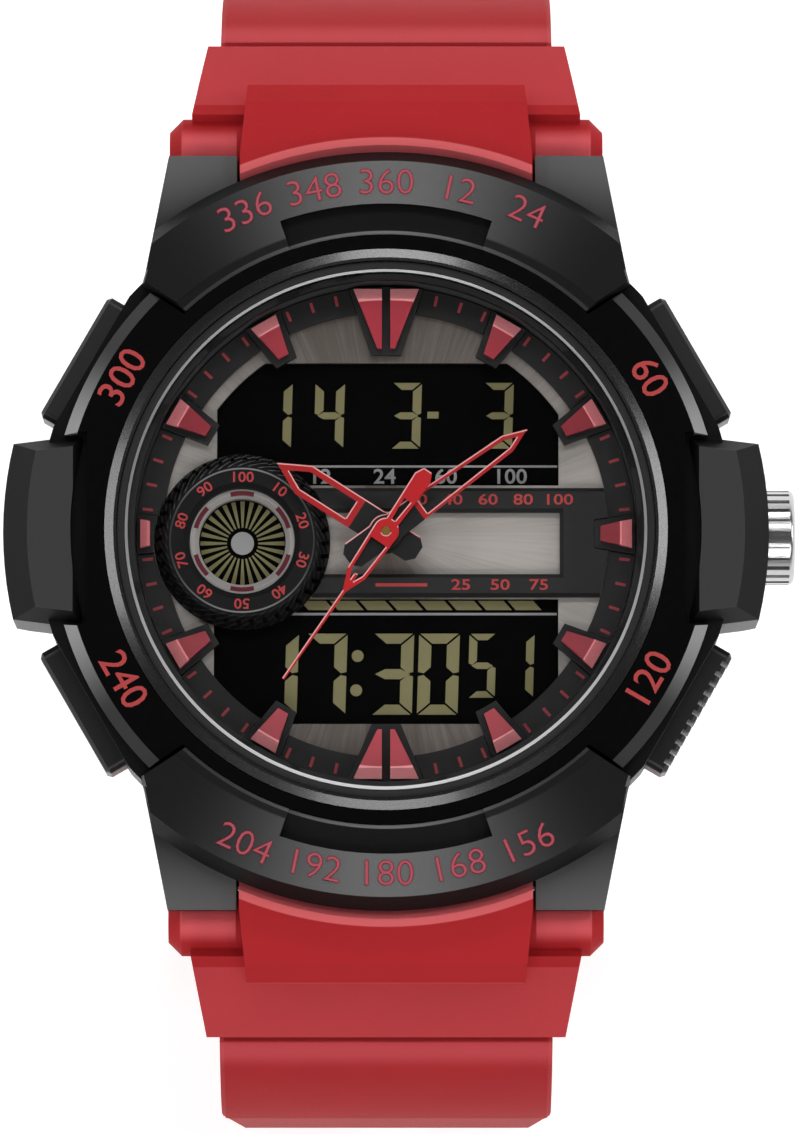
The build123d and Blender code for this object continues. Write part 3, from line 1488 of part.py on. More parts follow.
def main():
    os.makedirs("parts", exist_ok=True)
    save("case_body", make_case_body())
    save("case_back", make_case_back())
    save("back_screws", make_back_screws())
    save("back_gasket", make_back_gasket())
    save("bezel_shroud", make_bezel_shroud())
    save("bezel_ring", make_bezel_ring())
    save("crystal_rim", make_crystal_rim())
    save("crystal_gasket", make_crystal_gasket())
    save("crystal", make_crystal())
    save("reflector_ring", make_reflector_ring())
    for name, angle in button_angles.items():
        save(name, group([push_button(name, angle), button_clip(angle)]))
    save("button_springs", make_button_springs())
    save("button_seals", make_button_seals())
    save("crown", make_crown())
    save("crown_tube", make_crown_tube())
    save("crown_seal", make_crown_seal())
    save("setting_lever", make_setting_lever())
    save("dial_plate", make_dial_plate())
    save("chapter_ring", make_chapter_ring())
    save("marker_seats", make_marker_seats())
    save("hour_markers", make_hour_markers())
    save("dial_frame", make_dial_frame())
    save("subdial_tyre", make_subdial_tyre())
    save("subdial_rim", make_subdial_rim())
    save("hour_hand", make_hour_hand())
    save("minute_hand", make_minute_hand())
    save("second_hand", make_second_hand())
    save("seconds_wheel", make_seconds_wheel())
    save("third_wheel", make_third_wheel())
    save("centre_wheel", make_centre_wheel())
    save("minute_wheel", make_minute_wheel())
    save("hour_wheel", make_hour_wheel())
    save("intermediate_wheel", make_intermediate_wheel())
    save("rotor", make_rotor())
    save("stator", make_stator())
    save("coil", make_coil())
    save("train_bridge", make_train_bridge())
    save("main_plate", make_main_plate())
    save("circuit_board", make_circuit_board())
    save("connector_strips", make_connector_strips())
    save("controller_chip", make_controller_chip())
    save("tuning_can", make_tuning_can())
    save("battery", make_battery())
    save("battery_clamp", make_battery_clamp())
    save("buzzer", make_buzzer())
    save("buzzer_spring", make_buzzer_spring())
    save("backlight", make_backlight())
    save("display_panel", make_display_panel())
    save("module_frame", make_module_frame())
    save("spring_bar_12", make_spring_bar(1))
    save("spring_bar_6", make_spring_bar(-1))
    save("strap_buckle_half", make_buckle_strap())
    save("strap_tip_half", make_tip_strap())
    save("buckle_frame", make_buckle_frame())
    save("buckle_pin", make_buckle_pin())
    save("buckle_tongue", make_buckle_tongue())
    save("strap_keeper", make_strap_keeper())


main()
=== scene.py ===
import math

import bmesh
import bpy
from mathutils import Matrix, Vector


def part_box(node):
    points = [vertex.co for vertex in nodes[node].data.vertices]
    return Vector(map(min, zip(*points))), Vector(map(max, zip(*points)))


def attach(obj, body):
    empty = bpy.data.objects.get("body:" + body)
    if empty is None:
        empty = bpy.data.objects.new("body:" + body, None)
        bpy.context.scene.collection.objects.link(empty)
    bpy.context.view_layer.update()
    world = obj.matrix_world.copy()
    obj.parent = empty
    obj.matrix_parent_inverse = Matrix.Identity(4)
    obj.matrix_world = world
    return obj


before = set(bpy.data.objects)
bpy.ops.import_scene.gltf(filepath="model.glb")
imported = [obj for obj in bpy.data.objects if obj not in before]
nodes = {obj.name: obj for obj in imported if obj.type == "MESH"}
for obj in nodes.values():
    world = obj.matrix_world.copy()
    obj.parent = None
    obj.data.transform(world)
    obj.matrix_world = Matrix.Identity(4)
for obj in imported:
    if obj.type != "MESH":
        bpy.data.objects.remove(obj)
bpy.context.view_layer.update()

# Sizes below are in millimetres of the watch, x towards 3 o'clock and y towards 12; the scene is in metres
mm = 0.001
tiny = 0.001        # added to a radius before something is divided by it


class Value:
    # a shader socket that can be used in plain arithmetic
    def __init__(self, shader, socket):
        self.shader = shader
        self.socket = socket

    def join(self, operation, *others):
        return self.shader.add("ShaderNodeMath", {"operation": operation}, (self, *others))

    def __add__(self, other):
        return self.join("ADD", other)

    def __sub__(self, other):
        return self.join("SUBTRACT", other)

    def __rsub__(self, other):
        return self.shader.add("ShaderNodeMath", {"operation": "SUBTRACT"}, (other, self))

    def __mul__(self, other):
        return self.join("MULTIPLY", other)

    def __truediv__(self, other):
        return self.join("DIVIDE", other)

    __radd__ = __add__
    __rmul__ = __mul__

    def power(self, exponent):
        return self.join("POWER", exponent)

    def absolute(self):
        return self.join("ABSOLUTE")

    def above(self, edge, soft=0.0):
        # 0 below the edge and 1 above it, rising smoothly over twice the soft width
        if soft:
            return self.shader.add("ShaderNodeMapRange", {"interpolation_type": "SMOOTHSTEP"},
                                   (self, edge - soft, edge + soft, 0.0, 1.0))
        return self.join("GREATER_THAN", edge)

    def below(self, edge, soft=0.0):
        return 1.0 - self.above(edge, soft)

    def within(self, span, soft=0.0):
        low, high = span
        return self.above(low, soft) * self.below(high, soft)


class Shader:
    # the nodes of one material or of the world
    def __init__(self, owner):
        owner.use_nodes = True
        self.tree = owner.node_tree
        self.tree.nodes.clear()

    def node(self, kind, settings, sockets):
        # sockets are given in their order, or by name or number
        made = self.tree.nodes.new(kind)
        for key, value in settings.items():
            setattr(made, key, value)
        if not isinstance(sockets, dict):
            sockets = dict(enumerate(sockets))
        for key, value in sockets.items():
            self.put(made.inputs[key], value)
        return made

    def add(self, kind, settings, sockets, output=0):
        return Value(self, self.node(kind, settings, sockets).outputs[output])

    def put(self, socket, value):
        if isinstance(value, Value):
            self.tree.links.new(value.socket, socket)
        else:
            socket.default_value = value


class Finish(Shader):
    # one procedural material; its places and lengths are in millimetres of the watch
    def __init__(self, name, **fixed):
        self.material = bpy.data.materials.new(name)
        super().__init__(self.material)
        self.skin = self.node("ShaderNodeBsdfPrincipled", {}, ())
        self.node("ShaderNodeOutputMaterial", {}, (Value(self, self.skin.outputs[0]),))
        self.feed(**fixed)
        place = self.add("ShaderNodeTexCoord", {}, (), "Object")
        self.place = self.add("ShaderNodeMapping", {}, {"Vector": place, "Scale": (1 / mm, 1 / mm, 1 / mm)})
        parts = self.node("ShaderNodeSeparateXYZ", {}, (self.place,))
        self.x, self.y, self.z = (Value(self, socket) for socket in parts.outputs)

    def feed(self, **inputs):
        for key, value in inputs.items():
            self.put(self.skin.inputs[key.replace("_", " ")], value)

    def noise(self, scale, detail=3.0, rough=0.5, place=None):
        return self.add("ShaderNodeTexNoise", {}, {"Vector": place or self.place, "Scale": scale,
                                                   "Detail": detail, "Roughness": rough})

    def radius(self, x=0.0, y=0.0):
        return ((self.x - x).power(2.0) + (self.y - y).power(2.0)).power(0.5)

    def angle(self, x=0.0, y=0.0):
        return (self.y - y).join("ARCTAN2", self.x - x)

    def towards(self, along, reach):
        # 1 where the place lies along one axis of the dial, 0 a quarter turn away
        return (along / (reach + tiny)).power(2.0)

    def mix(self, share, one, two):
        # a Mix node's colours are its sockets 6 and 7, after those for numbers and vectors
        return self.add("ShaderNodeMix", {"data_type": "RGBA"}, {0: share, 6: one, 7: two}, output=2)

    def shade(self, share, low, high):
        return self.add("ShaderNodeMapRange", {}, (share, 0.0, 1.0, low, high))

    def bump(self, height, depth):
        self.feed(Normal=self.add("ShaderNodeBump", {}, {"Distance": depth * mm, "Height": height}))


def srgb(r, g, b):
    def line(v):
        v = v / 255
        return v / 12.92 if v <= 0.04045 else ((v + 0.055) / 1.055) ** 2.4
    return (line(r), line(g), line(b), 1.0)


def toned(colour, factor):
    return tuple(channel * factor for channel in colour[:3]) + (1,)


def dress(finish, *names):
    for name in names:
        mesh = nodes[name].data
        mesh.materials.clear()
        mesh.materials.append(finish.material)


print("frame loaded", len(nodes), "nodes")

# Plain mouldings, each with a fine grain over a cloud of slightly darker and paler tones, and who wears them
plastics = {
    "buttonResin": ({"colour": (26, 26, 27), "rough": 0.34},
                    ("button_2", "button_4", "button_8", "button_10")),
    "dialResin": ({"colour": (9, 9, 9), "rough": 0.55, "grain": 0.01, "scale": 14.0},
                  ("chapter_ring", "marker_seats", "dial_frame")),
    "reflectorResin": ({"colour": (62, 64, 64), "rough": 0.42, "grain": 0.006}, ("reflector_ring",)),
    "crystalRim": ({"colour": (6, 6, 7), "rough": 0.26, "grain": 0.001, "coat": 0.12, "specular": 0.95,
                    "spread": 0.06}, ("crystal_rim",)),
    "sealRubber": ({"colour": (18, 18, 18), "rough": 0.6, "grain": 0.01},
                   ("back_gasket", "crystal_gasket", "button_seals", "crown_seal", "connector_strips")),
    "gearResin": ({"colour": (206, 201, 184), "rough": 0.42, "grain": 0.004},
                  ("third_wheel", "minute_wheel", "intermediate_wheel")),
    "moduleResin": ({"colour": (62, 62, 64), "rough": 0.5}, ("main_plate", "train_bridge", "module_frame")),
    "chipResin": ({"colour": (16, 16, 16), "rough": 0.4}, ("controller_chip",)),
    "backlightResin": ({"colour": (196, 198, 172), "rough": 0.4, "grain": 0.003}, ("backlight",)),
}

# Brushed metals: "along" stretches the strokes, and a small value makes them long on that axis
metals = {
    "crownSteel": ({"colour": (205, 205, 206), "rough": 0.2, "along": (1.0, 14, 14)}, ("crown",)),
    "backSteel": ({"colour": (176, 175, 172), "rough": 0.32, "along": (0.6, 18, 1)},
                  ("case_back", "crown_tube")),
    "screwSteel": ({"colour": (190, 190, 192), "rough": 0.24, "along": (8, 8, 8)}, ("back_screws",)),
    "barSteel": ({"colour": (168, 168, 168), "rough": 0.3, "along": (0.5, 16, 16)},
                 ("spring_bar_12", "spring_bar_6", "buckle_pin")),
    "buckleSteel": ({"colour": (182, 181, 178), "rough": 0.3, "along": (0.4, 14, 14)},
                    ("buckle_frame", "buckle_tongue")),
    "springSteel": ({"colour": (150, 150, 150), "rough": 0.34, "along": (10, 10, 2)},
                    ("button_springs", "battery_clamp", "buzzer_spring", "setting_lever", "stator")),
    "batterySteel": ({"colour": (190, 190, 188), "rough": 0.28, "along": (4, 4, 4)}, ("battery",)),
    "canMetal": ({"colour": (180, 181, 184), "rough": 0.3, "along": (1, 12, 12)}, ("tuning_can",)),
    "trainBrass": ({"colour": (196, 158, 84), "rough": 0.3, "along": (9, 9, 1)},
                   ("centre_wheel", "seconds_wheel", "hour_wheel", "buzzer")),
    "rotorMagnet": ({"colour": (58, 58, 62), "rough": 0.4, "along": (6, 6, 2)}, ("rotor",)),
    "coilCopper": ({"colour": (172, 96, 48), "rough": 0.34, "along": (18, 0.6, 18)}, ("coil",)),
    "rimGrey": ({"colour": (184, 180, 177), "rough": 0.36, "along": (12, 12, 1), "metal": 0.4},
                ("subdial_rim",)),
}


def mouldedPlastic(name, colour, rough, grain=0.012, scale=9.0, coat=0.0, specular=0.5, spread=0.18):
    finish = Finish(name, IOR=1.47, Coat_Weight=coat, Coat_Roughness=0.08, Specular_IOR_Level=specular)
    fine = finish.noise(scale, 4.0, 0.6)
    cloud = finish.noise(0.35, 2.0)
    base = srgb(*colour)
    dark, pale = toned(base, 1 - spread), toned(base, 1 + spread)
    finish.feed(Base_Color=finish.mix(fine * 0.5 + cloud * 0.5, dark, pale),
                Roughness=finish.shade(fine, rough - 0.06, rough + 0.06))
    finish.bump(fine, grain)
    return finish


def brushedMetal(name, colour, rough, along, metal=1.0):
    finish = Finish(name, Metallic=metal)
    stretched = finish.add("ShaderNodeMapping", {}, {"Vector": finish.place, "Scale": along})
    strokes = finish.noise(1.0, 6.0, 0.7, place=stretched)
    base = srgb(*colour)
    finish.feed(Base_Color=finish.mix(strokes, toned(base, 0.8), base),
                Roughness=finish.shade(strokes, rough - 0.07, rough + 0.09))
    finish.bump(strokes, 0.004)
    return finish


for name, (look, wearers) in plastics.items():
    dress(mouldedPlastic(name, **look), *wearers)
for name, (look, wearers) in metals.items():
    dress(brushedMetal(name, **look), *wearers)

# Case: black resin whose lug tops are drawn a paler grey, over "soft" on each side of "middle", towards the
# strap
lugTone = {"dark": (22, 22, 23), "grain": (12, 12, 13), "pale": (96, 96, 96), "level": 11.1,
           "middle": 21.5, "soft": 4.0}


def caseFinish(size=lugTone):
    finish = Finish("caseResin", IOR=1.47, Specular_IOR_Level=0.2)
    fine = finish.noise(10.0, 4.0, 0.6)
    top = finish.z.above(size["level"]) * finish.y.absolute().above(size["middle"], size["soft"])
    speck = finish.noise(30.0, 2.0, 0.7).above(0.6, 0.08)
    grained = finish.mix(fine * 0.35, srgb(*size["dark"]), srgb(*size["grain"]))
    finish.feed(Base_Color=finish.mix(top * (speck * 0.1 + 0.9), grained, srgb(*size["pale"])),
                Roughness=finish.shade(fine, 0.34, 0.46))
    finish.bump(fine, 0.012)
    return finish


dress(caseFinish(), "case_body")

# Bezel shroud: grey tops under a painted sheen that darkens them away from 12 and 6, black sides, a dark sunk
# tab, a pale lip that is a painted highlight, and inner slopes pale in patches under the same painted sheen
# the lip tone is a painted highlight; the cap and slope tones are faded by the painted sheen
shroudTone = {"cap": (108, 108, 108), "guard": (60, 60, 60), "dark": (15, 15, 16), "tab": (18, 18, 18),
              "lipHighlight": (120, 120, 120), "slope": (50, 50, 50), "capShare": 0.3, "capLevel": 14.1,
              "capInner": 20.45, "capOuter": 24.5, "tabLevels": (13.1, 13.25), "lipOuter": 19.93,
              "guardLevel": 13.55, "guardOuter": 23.82, "soft": 0.03}


def shroudFinish(size=shroudTone):
    finish = Finish("shroudResin", IOR=1.46, Specular_IOR_Level=0.1)
    fine = finish.noise(13.0, 4.0, 0.6)
    coarse = finish.noise(34.0, 2.0, 0.7)
    reach, level = finish.radius(), finish.z
    floor, ceiling = size["tabLevels"]
    upright = finish.towards(finish.y, reach)
    onCap = upright.above(size["capShare"])
    # painted sheen: 1 towards 12 and 6, falling away towards the guards
    paintedSheen = (upright * 2.0 - 1.0).power(3.5) * onCap
    capTop = level.above(size["capLevel"]) * reach.below(size["capOuter"], size["soft"])
    slope = level.above(ceiling, 0.05) * level.below(size["capLevel"]) * reach.below(size["capInner"]) * onCap
    # painted highlight along the caps' inner lip
    lipHighlight = level.above(floor) * reach.below(size["lipOuter"], size["soft"]) * onCap
    guardTop = level.above(size["guardLevel"]) * (1.0 - onCap) * reach.below(size["guardOuter"], size["soft"])
    layers = {"tab": level.within(size["tabLevels"]) * onCap,
              "guard": guardTop,
              "cap": capTop * (paintedSheen * 0.97 + 0.03),
              "slope": slope * coarse.above(0.4, 0.2) * (paintedSheen * 0.7 + 0.3),
              "lipHighlight": lipHighlight * (paintedSheen * 0.8 + 0.2)}
    tone = srgb(*size["dark"])
    for key, share in layers.items():
        tone = finish.mix(share, tone, srgb(*size[key]))
    finish.feed(Base_Color=finish.mix(fine * 0.16, tone, srgb(*size["dark"])),
                Roughness=finish.shade(fine, 0.44, 0.6))
    finish.bump(fine, 0.018)
    return finish


shroudLook = shroudFinish()
dress(shroudLook, "bezel_shroud")

# Bezel ring: piano black, its outer chamfer grey as a painted sheen and brighter still, as a painted
# highlight, where it runs beside the two guards
# the chamfer tone is a painted sheen and the glint tone a painted highlight
ringTone = {"face": (3, 3, 4), "cloud": (6, 6, 7), "chamfer": (34, 34, 34), "glint": (150, 150, 150),
            "chamferInner": 21.48, "soft": 0.02, "glintRise": 0.42, "glintSoft": 0.14}


def ringFinish(size=ringTone):
    finish = Finish("bezelGloss", IOR=1.5, Specular_IOR_Level=0.22, Coat_Weight=0.1, Coat_Roughness=0.1)
    fine = finish.noise(2.0, 3.0, 0.5)
    reach = finish.radius()
    rise = (finish.y / (reach + tiny)).absolute()
    # painted highlight on the chamfer beside the guards
    glint = rise.below(size["glintRise"], size["glintSoft"])
    face = finish.mix(fine, srgb(*size["face"]), srgb(*size["cloud"]))
    chamfer = finish.mix(glint, srgb(*size["chamfer"]), srgb(*size["glint"]))
    finish.feed(Base_Color=finish.mix(reach.above(size["chamferInner"], size["soft"]), face, chamfer),
                Roughness=finish.shade(fine, 0.14, 0.2))
    finish.bump(fine, 0.002)
    return finish


dress(ringFinish(), "bezel_ring")

# Small dial: its middle, and its tyre with a painted highlight as a pale line round the face, brightest at 12
# and 6, and painted highlights on the treads' edges, strongest towards 12
smallDial = {"x": -9.6, "y": -0.5}
# the palest tone is the painted highlight of the face line and of the treads' edges
tyreTone = {"rubber": (22, 22, 23), "tread": (13, 13, 14), "tyreHighlight": (150, 150, 150), "face": 4.8, "line": 0.05,
            "soft": 0.03, "treadHighlightFrom": 0.18, "treads": 23, "slant": 0.9}


def tyreFinish(size=tyreTone, middle=smallDial):
    finish = Finish("tyreResin", IOR=1.46, Specular_IOR_Level=0.14)
    fine = finish.noise(16.0, 4.0, 0.6)
    reach, face = finish.radius(**middle), size["face"]
    rise = (finish.y - middle["y"]) / (reach + tiny)
    upper = (rise + 1.0) * 0.5
    # painted highlight: a pale line round the face, stronger towards 12 and 6
    line = reach.within((face - size["line"], face + size["line"]), size["soft"])
    wave = finish.angle(**middle) * size["treads"] * 2.0 + reach * size["slant"] * size["treads"]
    # painted highlights on the treads' edges, strongest towards 12
    tyreHighlight = wave.join("SINE").above(0.9, 0.08) * reach.above(face + size["treadHighlightFrom"], 0.05)
    tyreHighlight = tyreHighlight * (upper.power(3.0) * 0.6 + 0.1) * fine.above(0.4, 0.2)
    body = finish.mix(reach.above(face, 0.02), srgb(*size["rubber"]), srgb(*size["tread"]))
    line = line * (rise.power(2.0) * 0.6 + 0.12)
    finish.feed(Base_Color=finish.mix(line + tyreHighlight, body, srgb(*size["tyreHighlight"])),
                Roughness=finish.shade(fine, 0.4, 0.6))
    finish.bump(fine, 0.02)
    return finish


dress(tyreFinish(), "subdial_tyre")

# Strap: matt red resin with a fine pebble; its two paler tones are for painted highlights
strapRed = {"colour": (184, 44, 48), "deep": (166, 35, 40), "bevelHighlight": (222, 102, 106), "glow": (222, 96, 102),
            "rough": 0.55, "grain": 0.02}
# Painted highlights make it paler: on the bevel round the bezel, the barrels at the lugs, the first segment
# and its bulge
strapHighlights = {"bevelReach": (24.2, 26.35), "bevelLevel": 10.92, "bevelHalf": 9.9,
             "barrelOut": (25.0, 26.9), "barrelAside": (10.0, 13.7), "barrelLevel": 8.8, "barrel": 0.8,
             "segmentOut": (28.9, 34.0), "segmentLevels": (4.0, 10.4), "segment": 0.3,
             "bulgeOut": (33.6, 34.9), "bulgeHighlight": 0.45}


def strapFinish(size=strapRed, places=strapHighlights):
    finish = Finish("strapResin", IOR=1.46, Specular_IOR_Level=0.08)
    pebble = finish.noise(7.0, 5.0, 0.62)
    cloud = finish.noise(0.22, 3.0)
    reach, level = finish.radius(), finish.z
    out, aside = finish.y.absolute(), finish.x.absolute()
    near, far = places["bevelReach"]
    bevelHighlight = level.above(places["bevelLevel"], 0.02) * reach.below(far, 0.05) * reach.above(near)
    near, far = places["barrelAside"]
    barrel = (out.within(places["barrelOut"], 0.5) * aside.above(near) * aside.below(far, 0.05)
              * level.above(places["barrelLevel"], 0.4) * places["barrel"])
    # painted highlight over the first segment
    segment = out.within(places["segmentOut"]) * level.within(places["segmentLevels"]) * places["segment"]
    near, far = places["bulgeOut"]
    bulgeHighlight = out.above(near, 0.5) * out.below(far, 0.6) * level.above(0.0) * places["bulgeHighlight"]
    # the painted highlights join, the strongest one counting
    glow = bevelHighlight
    for other in (segment, bulgeHighlight, barrel):
        glow = glow.join("MAXIMUM", other)
    resin = finish.mix(pebble * 0.45 + cloud * 0.55, srgb(*size["deep"]), srgb(*size["colour"]))
    warm = finish.mix(glow, resin, srgb(*size["glow"]))
    finish.feed(Base_Color=finish.mix(bevelHighlight * aside.below(places["bevelHalf"]), warm, srgb(*size["bevelHighlight"])),
                Roughness=finish.shade(pebble, size["rough"] - 0.07, size["rough"] + 0.09))
    finish.bump(pebble, size["grain"])
    return finish


dress(strapFinish(), "strap_buckle_half", "strap_tip_half", "strap_keeper")

# Circuit board: solder mask with wavy copper tracks under it
boardTone = {"mask": (18, 74, 46), "track": (34, 104, 62)}


def boardFinish(size=boardTone):
    finish = Finish("boardMask", Coat_Weight=0.3, Coat_Roughness=0.15)
    rows = finish.add("ShaderNodeTexWave", {"wave_type": "BANDS", "bands_direction": "X"},
                      {"Vector": finish.place, "Scale": 0.55, "Distortion": 2.5, "Detail": 1.0})
    track = rows.above(0.72, 0.04)
    finish.feed(Base_Color=finish.mix(track, srgb(*size["mask"]), srgb(*size["track"])), Roughness=0.35)
    finish.bump(track, 0.01)
    return finish


dress(boardFinish(), "circuit_board")

# Sunray dial: strokes run out from the middle; a painted reflection makes it dark towards 12 and 6 and pale
# towards 3 and 9
sunray = {"dark": (98, 90, 84), "pale": (184, 178, 173), "strokes": 46.0, "outward": 0.12}


def sunrayFinish(size=sunray):
    finish = Finish("sunrayDial", Metallic=0.35)
    reach = finish.radius()
    around = finish.add("ShaderNodeCombineXYZ", {},
                        (finish.angle() * size["strokes"], reach * size["outward"], 0.0))
    strokes = finish.noise(1.0, 6.0, 0.75, place=around)
    wide = finish.noise(0.12, 2.0, 0.5, place=around)
    # painted reflection: paler towards 3 and 9, darker towards 12 and 6
    tone = finish.towards(finish.x, reach) * 0.95 + (strokes - 0.5) * 0.75 + (wide - 0.5) * 0.5
    finish.feed(Base_Color=finish.mix(tone, srgb(*size["dark"]), srgb(*size["pale"])),
                Roughness=finish.shade(strokes, 0.34, 0.52))
    finish.bump(strokes, 0.006)
    return finish


dress(sunrayFinish(), "dial_plate")

# Display: dark liquid crystal behind a polariser, near black, with a faint dull mottle
displayTone = {"dark": (1, 1, 1), "pale": (4, 4, 4)}


def displayFinish(size=displayTone):
    finish = Finish("displayDark", Roughness=0.5, Specular_IOR_Level=0.03)
    finish.feed(Base_Color=finish.mix(finish.noise(0.4, 3.0), srgb(*size["dark"]), srgb(*size["pale"])))
    return finish


dress(displayFinish(), "display_panel")

# Crystal: only a trace of the glass shows, save on its ground edge, which carries a painted highlight,
# brightest towards 6 o'clock
glassEdge = {"inner": 17.14, "dark": (30, 32, 34), "pale": (255, 255, 255), "lowerSoft": 14.0}


def clearFinish(size=glassEdge):
    finish = Finish("crystalClear", Roughness=0.03, IOR=1.5, Specular_IOR_Level=0.3)
    smear = finish.noise(0.12, 2.0)
    reach = finish.radius()
    edge = reach.above(size["inner"], 0.02)
    lower = finish.y.below(0.0, size["lowerSoft"])
    # painted highlight on the edge, strongest at 6 and next at 12
    shine = edge * (finish.towards(finish.y, reach) * 0.5 + 0.2 + lower * 0.3)
    finish.feed(Alpha=edge * 0.95 + smear * 0.004 + 0.004,
                Base_Color=finish.mix(shine, srgb(*size["dark"]), srgb(*size["pale"])))
    return finish


dress(clearFinish(), "crystal")

# Hour markers: red lacquer with fine flakes, under painted light: the outer facet is painted paler as a
# highlight, its flakes with pale painted sparkle; each facet's tones are those at 3 and 9, then at 12 and 6
markerTone = {"inner": ((124, 22, 38), (170, 38, 56)), "outer": ((236, 116, 124), (255, 150, 156)),
              "innerFlake": (176, 52, 64), "outerFlakeSparkle": (255, 206, 206), "outerFrom": 15.6}


def markerFinish(size=markerTone):
    finish = Finish("markerLacquer", Coat_Weight=0.12, Coat_Roughness=0.25)
    flake = finish.noise(26.0, 2.0, 0.7)
    cloud = finish.noise(1.2, 2.0)
    reach = finish.radius()
    outer = reach.above(size["outerFrom"], 0.04)
    # painted light: each facet's tone changes from 3 and 9 to 12 and 6
    upright = finish.towards(finish.y, reach)
    inside, outside = (finish.mix(upright, srgb(*size[facet][0]), srgb(*size[facet][1]))
                       for facet in ("inner", "outer"))
    # pale painted sparkle on the outer facet's flakes
    flakes = finish.mix(outer, srgb(*size["innerFlake"]), srgb(*size["outerFlakeSparkle"]))
    body = finish.mix(outer, inside, outside)
    finish.feed(Base_Color=finish.mix(flake.above(0.56, 0.06) * 0.4 + cloud * 0.1, body, flakes),
                Roughness=finish.shade(flake, 0.3, 0.5))
    finish.bump(flake, 0.008)
    return finish


dress(markerFinish(), "hour_markers")

# Hands: red lacquer, black within "hub" of the middle; "points" is in degrees clockwise from 12
hands = {
    "hour_hand": {"body": "hour", "look": "hourRed", "red": (178, 22, 30), "hub": 2.26, "points": 302.5},
    "minute_hand": {"body": "centre", "look": "minuteRed", "red": (180, 22, 30), "hub": 2.55, "points": 54},
    "second_hand": {"body": "seconds", "look": "secondRed", "red": (194, 20, 28), "hub": 0.0, "points": 0},
}


def handFinish(size):
    finish = Finish(size["look"], Metallic=0.1, Coat_Weight=0.2, Coat_Roughness=0.12)
    fine = finish.noise(18.0, 3.0, 0.6)
    red = srgb(*size["red"])
    tone = finish.mix(fine, toned(red, 0.86), red)
    if size["hub"]:
        turn = math.radians(size["points"])
        along = finish.x * math.sin(turn) + finish.y * math.cos(turn)
        tone = finish.mix(along.above(size["hub"], 0.03), srgb(16, 16, 16), tone)
    finish.feed(Base_Color=tone, Roughness=finish.shade(fine, 0.28, 0.42))
    finish.bump(fine, 0.003)
    return finish


for hand, size in hands.items():
    dress(handFinish(size), hand)
print("materials on the solids")


# What scene.py adds to the solids: cap skirts, bars between markers, painted highlights on the hands' edges
# and everything printed
def newPiece(name, bm, body, finish):
    bmesh.ops.recalc_face_normals(bm, faces=bm.faces)
    mesh = bpy.data.meshes.new(name)
    bm.to_mesh(mesh)
    bm.free()
    piece = bpy.data.objects.new(name, mesh)
    bpy.context.scene.collection.objects.link(piece)
    mesh.materials.append(finish.material)
    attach(piece, body)


def scaled(bm):
    bmesh.ops.scale(bm, vec=(mm, mm, mm), verts=bm.verts)
    return bm


def rectangle(left, right, low, high):
    return [(left, low), (right, low), (right, high), (left, high)]


def plate(bm, corners, low, high):
    # one flat outline raised from low to high
    face = bm.faces.new([bm.verts.new((x, y, low)) for x, y in corners])
    raised = bmesh.ops.extrude_face_region(bm, geom=[face])
    lifted = [item for item in raised["geom"] if isinstance(item, bmesh.types.BMVert)]
    bmesh.ops.translate(bm, vec=(0, 0, high - low), verts=lifted)


# Inks, and the painted highlight on the hands' edges
inkTones = {
    "segmentOlive": {"colour": (125, 120, 84), "rough": 0.7, "spread": 0.05, "scale": 1.5},
    "printGrey": {"colour": (150, 150, 150)},
    "printRed": {"colour": (178, 62, 62)},
    "printDullRed": {"colour": (160, 62, 70)},
    "printDeepRed": {"colour": (100, 26, 40)},
    # the cap figures are two-tone: a darker edge as painted shade and a paler core as painted highlight
    "printCapShadedEdge": {"colour": (146, 34, 50)},
    "printCapLitCore": {"colour": (176, 78, 92)},
    "handGlint": {"colour": (238, 168, 168), "rough": 0.3},
}


def inkFinish(name, colour, rough=0.5, spread=0.12, scale=14.0):
    finish = Finish(name, Roughness=rough, Specular_IOR_Level=0.3)
    fine = finish.noise(scale, 3.0, 0.6)
    base = srgb(*colour)
    finish.feed(Base_Color=finish.mix(fine, toned(base, 1 - spread), base))
    finish.bump(fine, 0.004)
    return finish


inks = {name: inkFinish(name, **tone) for name, tone in inkTones.items()}

# The caps reach out over the strap's bevel: radius, level and half angle in degrees of each corner
skirt = {"corners": ((23.4, 14.206, 43.0), (24.5, 14.206, 39.6), (25.32, 12.3, 37.6), (24.0, 12.3, 41.0)),
         "steps": 56, "middles": (90, 270)}


def capSkirts(size=skirt):
    bm = bmesh.new()
    count = len(size["corners"])
    for middle in size["middles"]:
        rows = []
        for step in range(size["steps"] + 1):
            share = 2 * step / size["steps"] - 1
            row = []
            for radius, level, half in size["corners"]:
                angle = math.radians(middle + share * half)
                row.append(bm.verts.new((radius * math.cos(angle), radius * math.sin(angle), level)))
            rows.append(row)
        for near, far in zip(rows, rows[1:]):
            for index in range(count):
                after = (index + 1) % count
                bm.faces.new([near[index], near[after], far[after], far[index]])
        bm.faces.new(rows[0])
        bm.faces.new(list(reversed(rows[-1])))
    newPiece("capSkirts", scaled(bm), "case", shroudLook)


# A narrow bar stands between the two markers of each pair
pairBars = {"pairBarTop": {"half": 0.3, "ends": (13.0, 16.2), "colour": (44, 44, 45)},
            "pairBarLow": {"half": 0.22, "ends": (-15.8, -13.0), "colour": (150, 146, 142)}}
pairStand = {"sunk": 0.05, "height": 0.25}


def pairBar(name, size, stand=pairStand):
    bm = bmesh.new()
    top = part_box("chapter_ring")[1].z / mm
    corners = rectangle(-size["half"], size["half"], *size["ends"])
    plate(bm, corners, top - stand["sunk"], top + stand["height"])
    newPiece(name, scaled(bm), "case", inkFinish(name, size["colour"]))


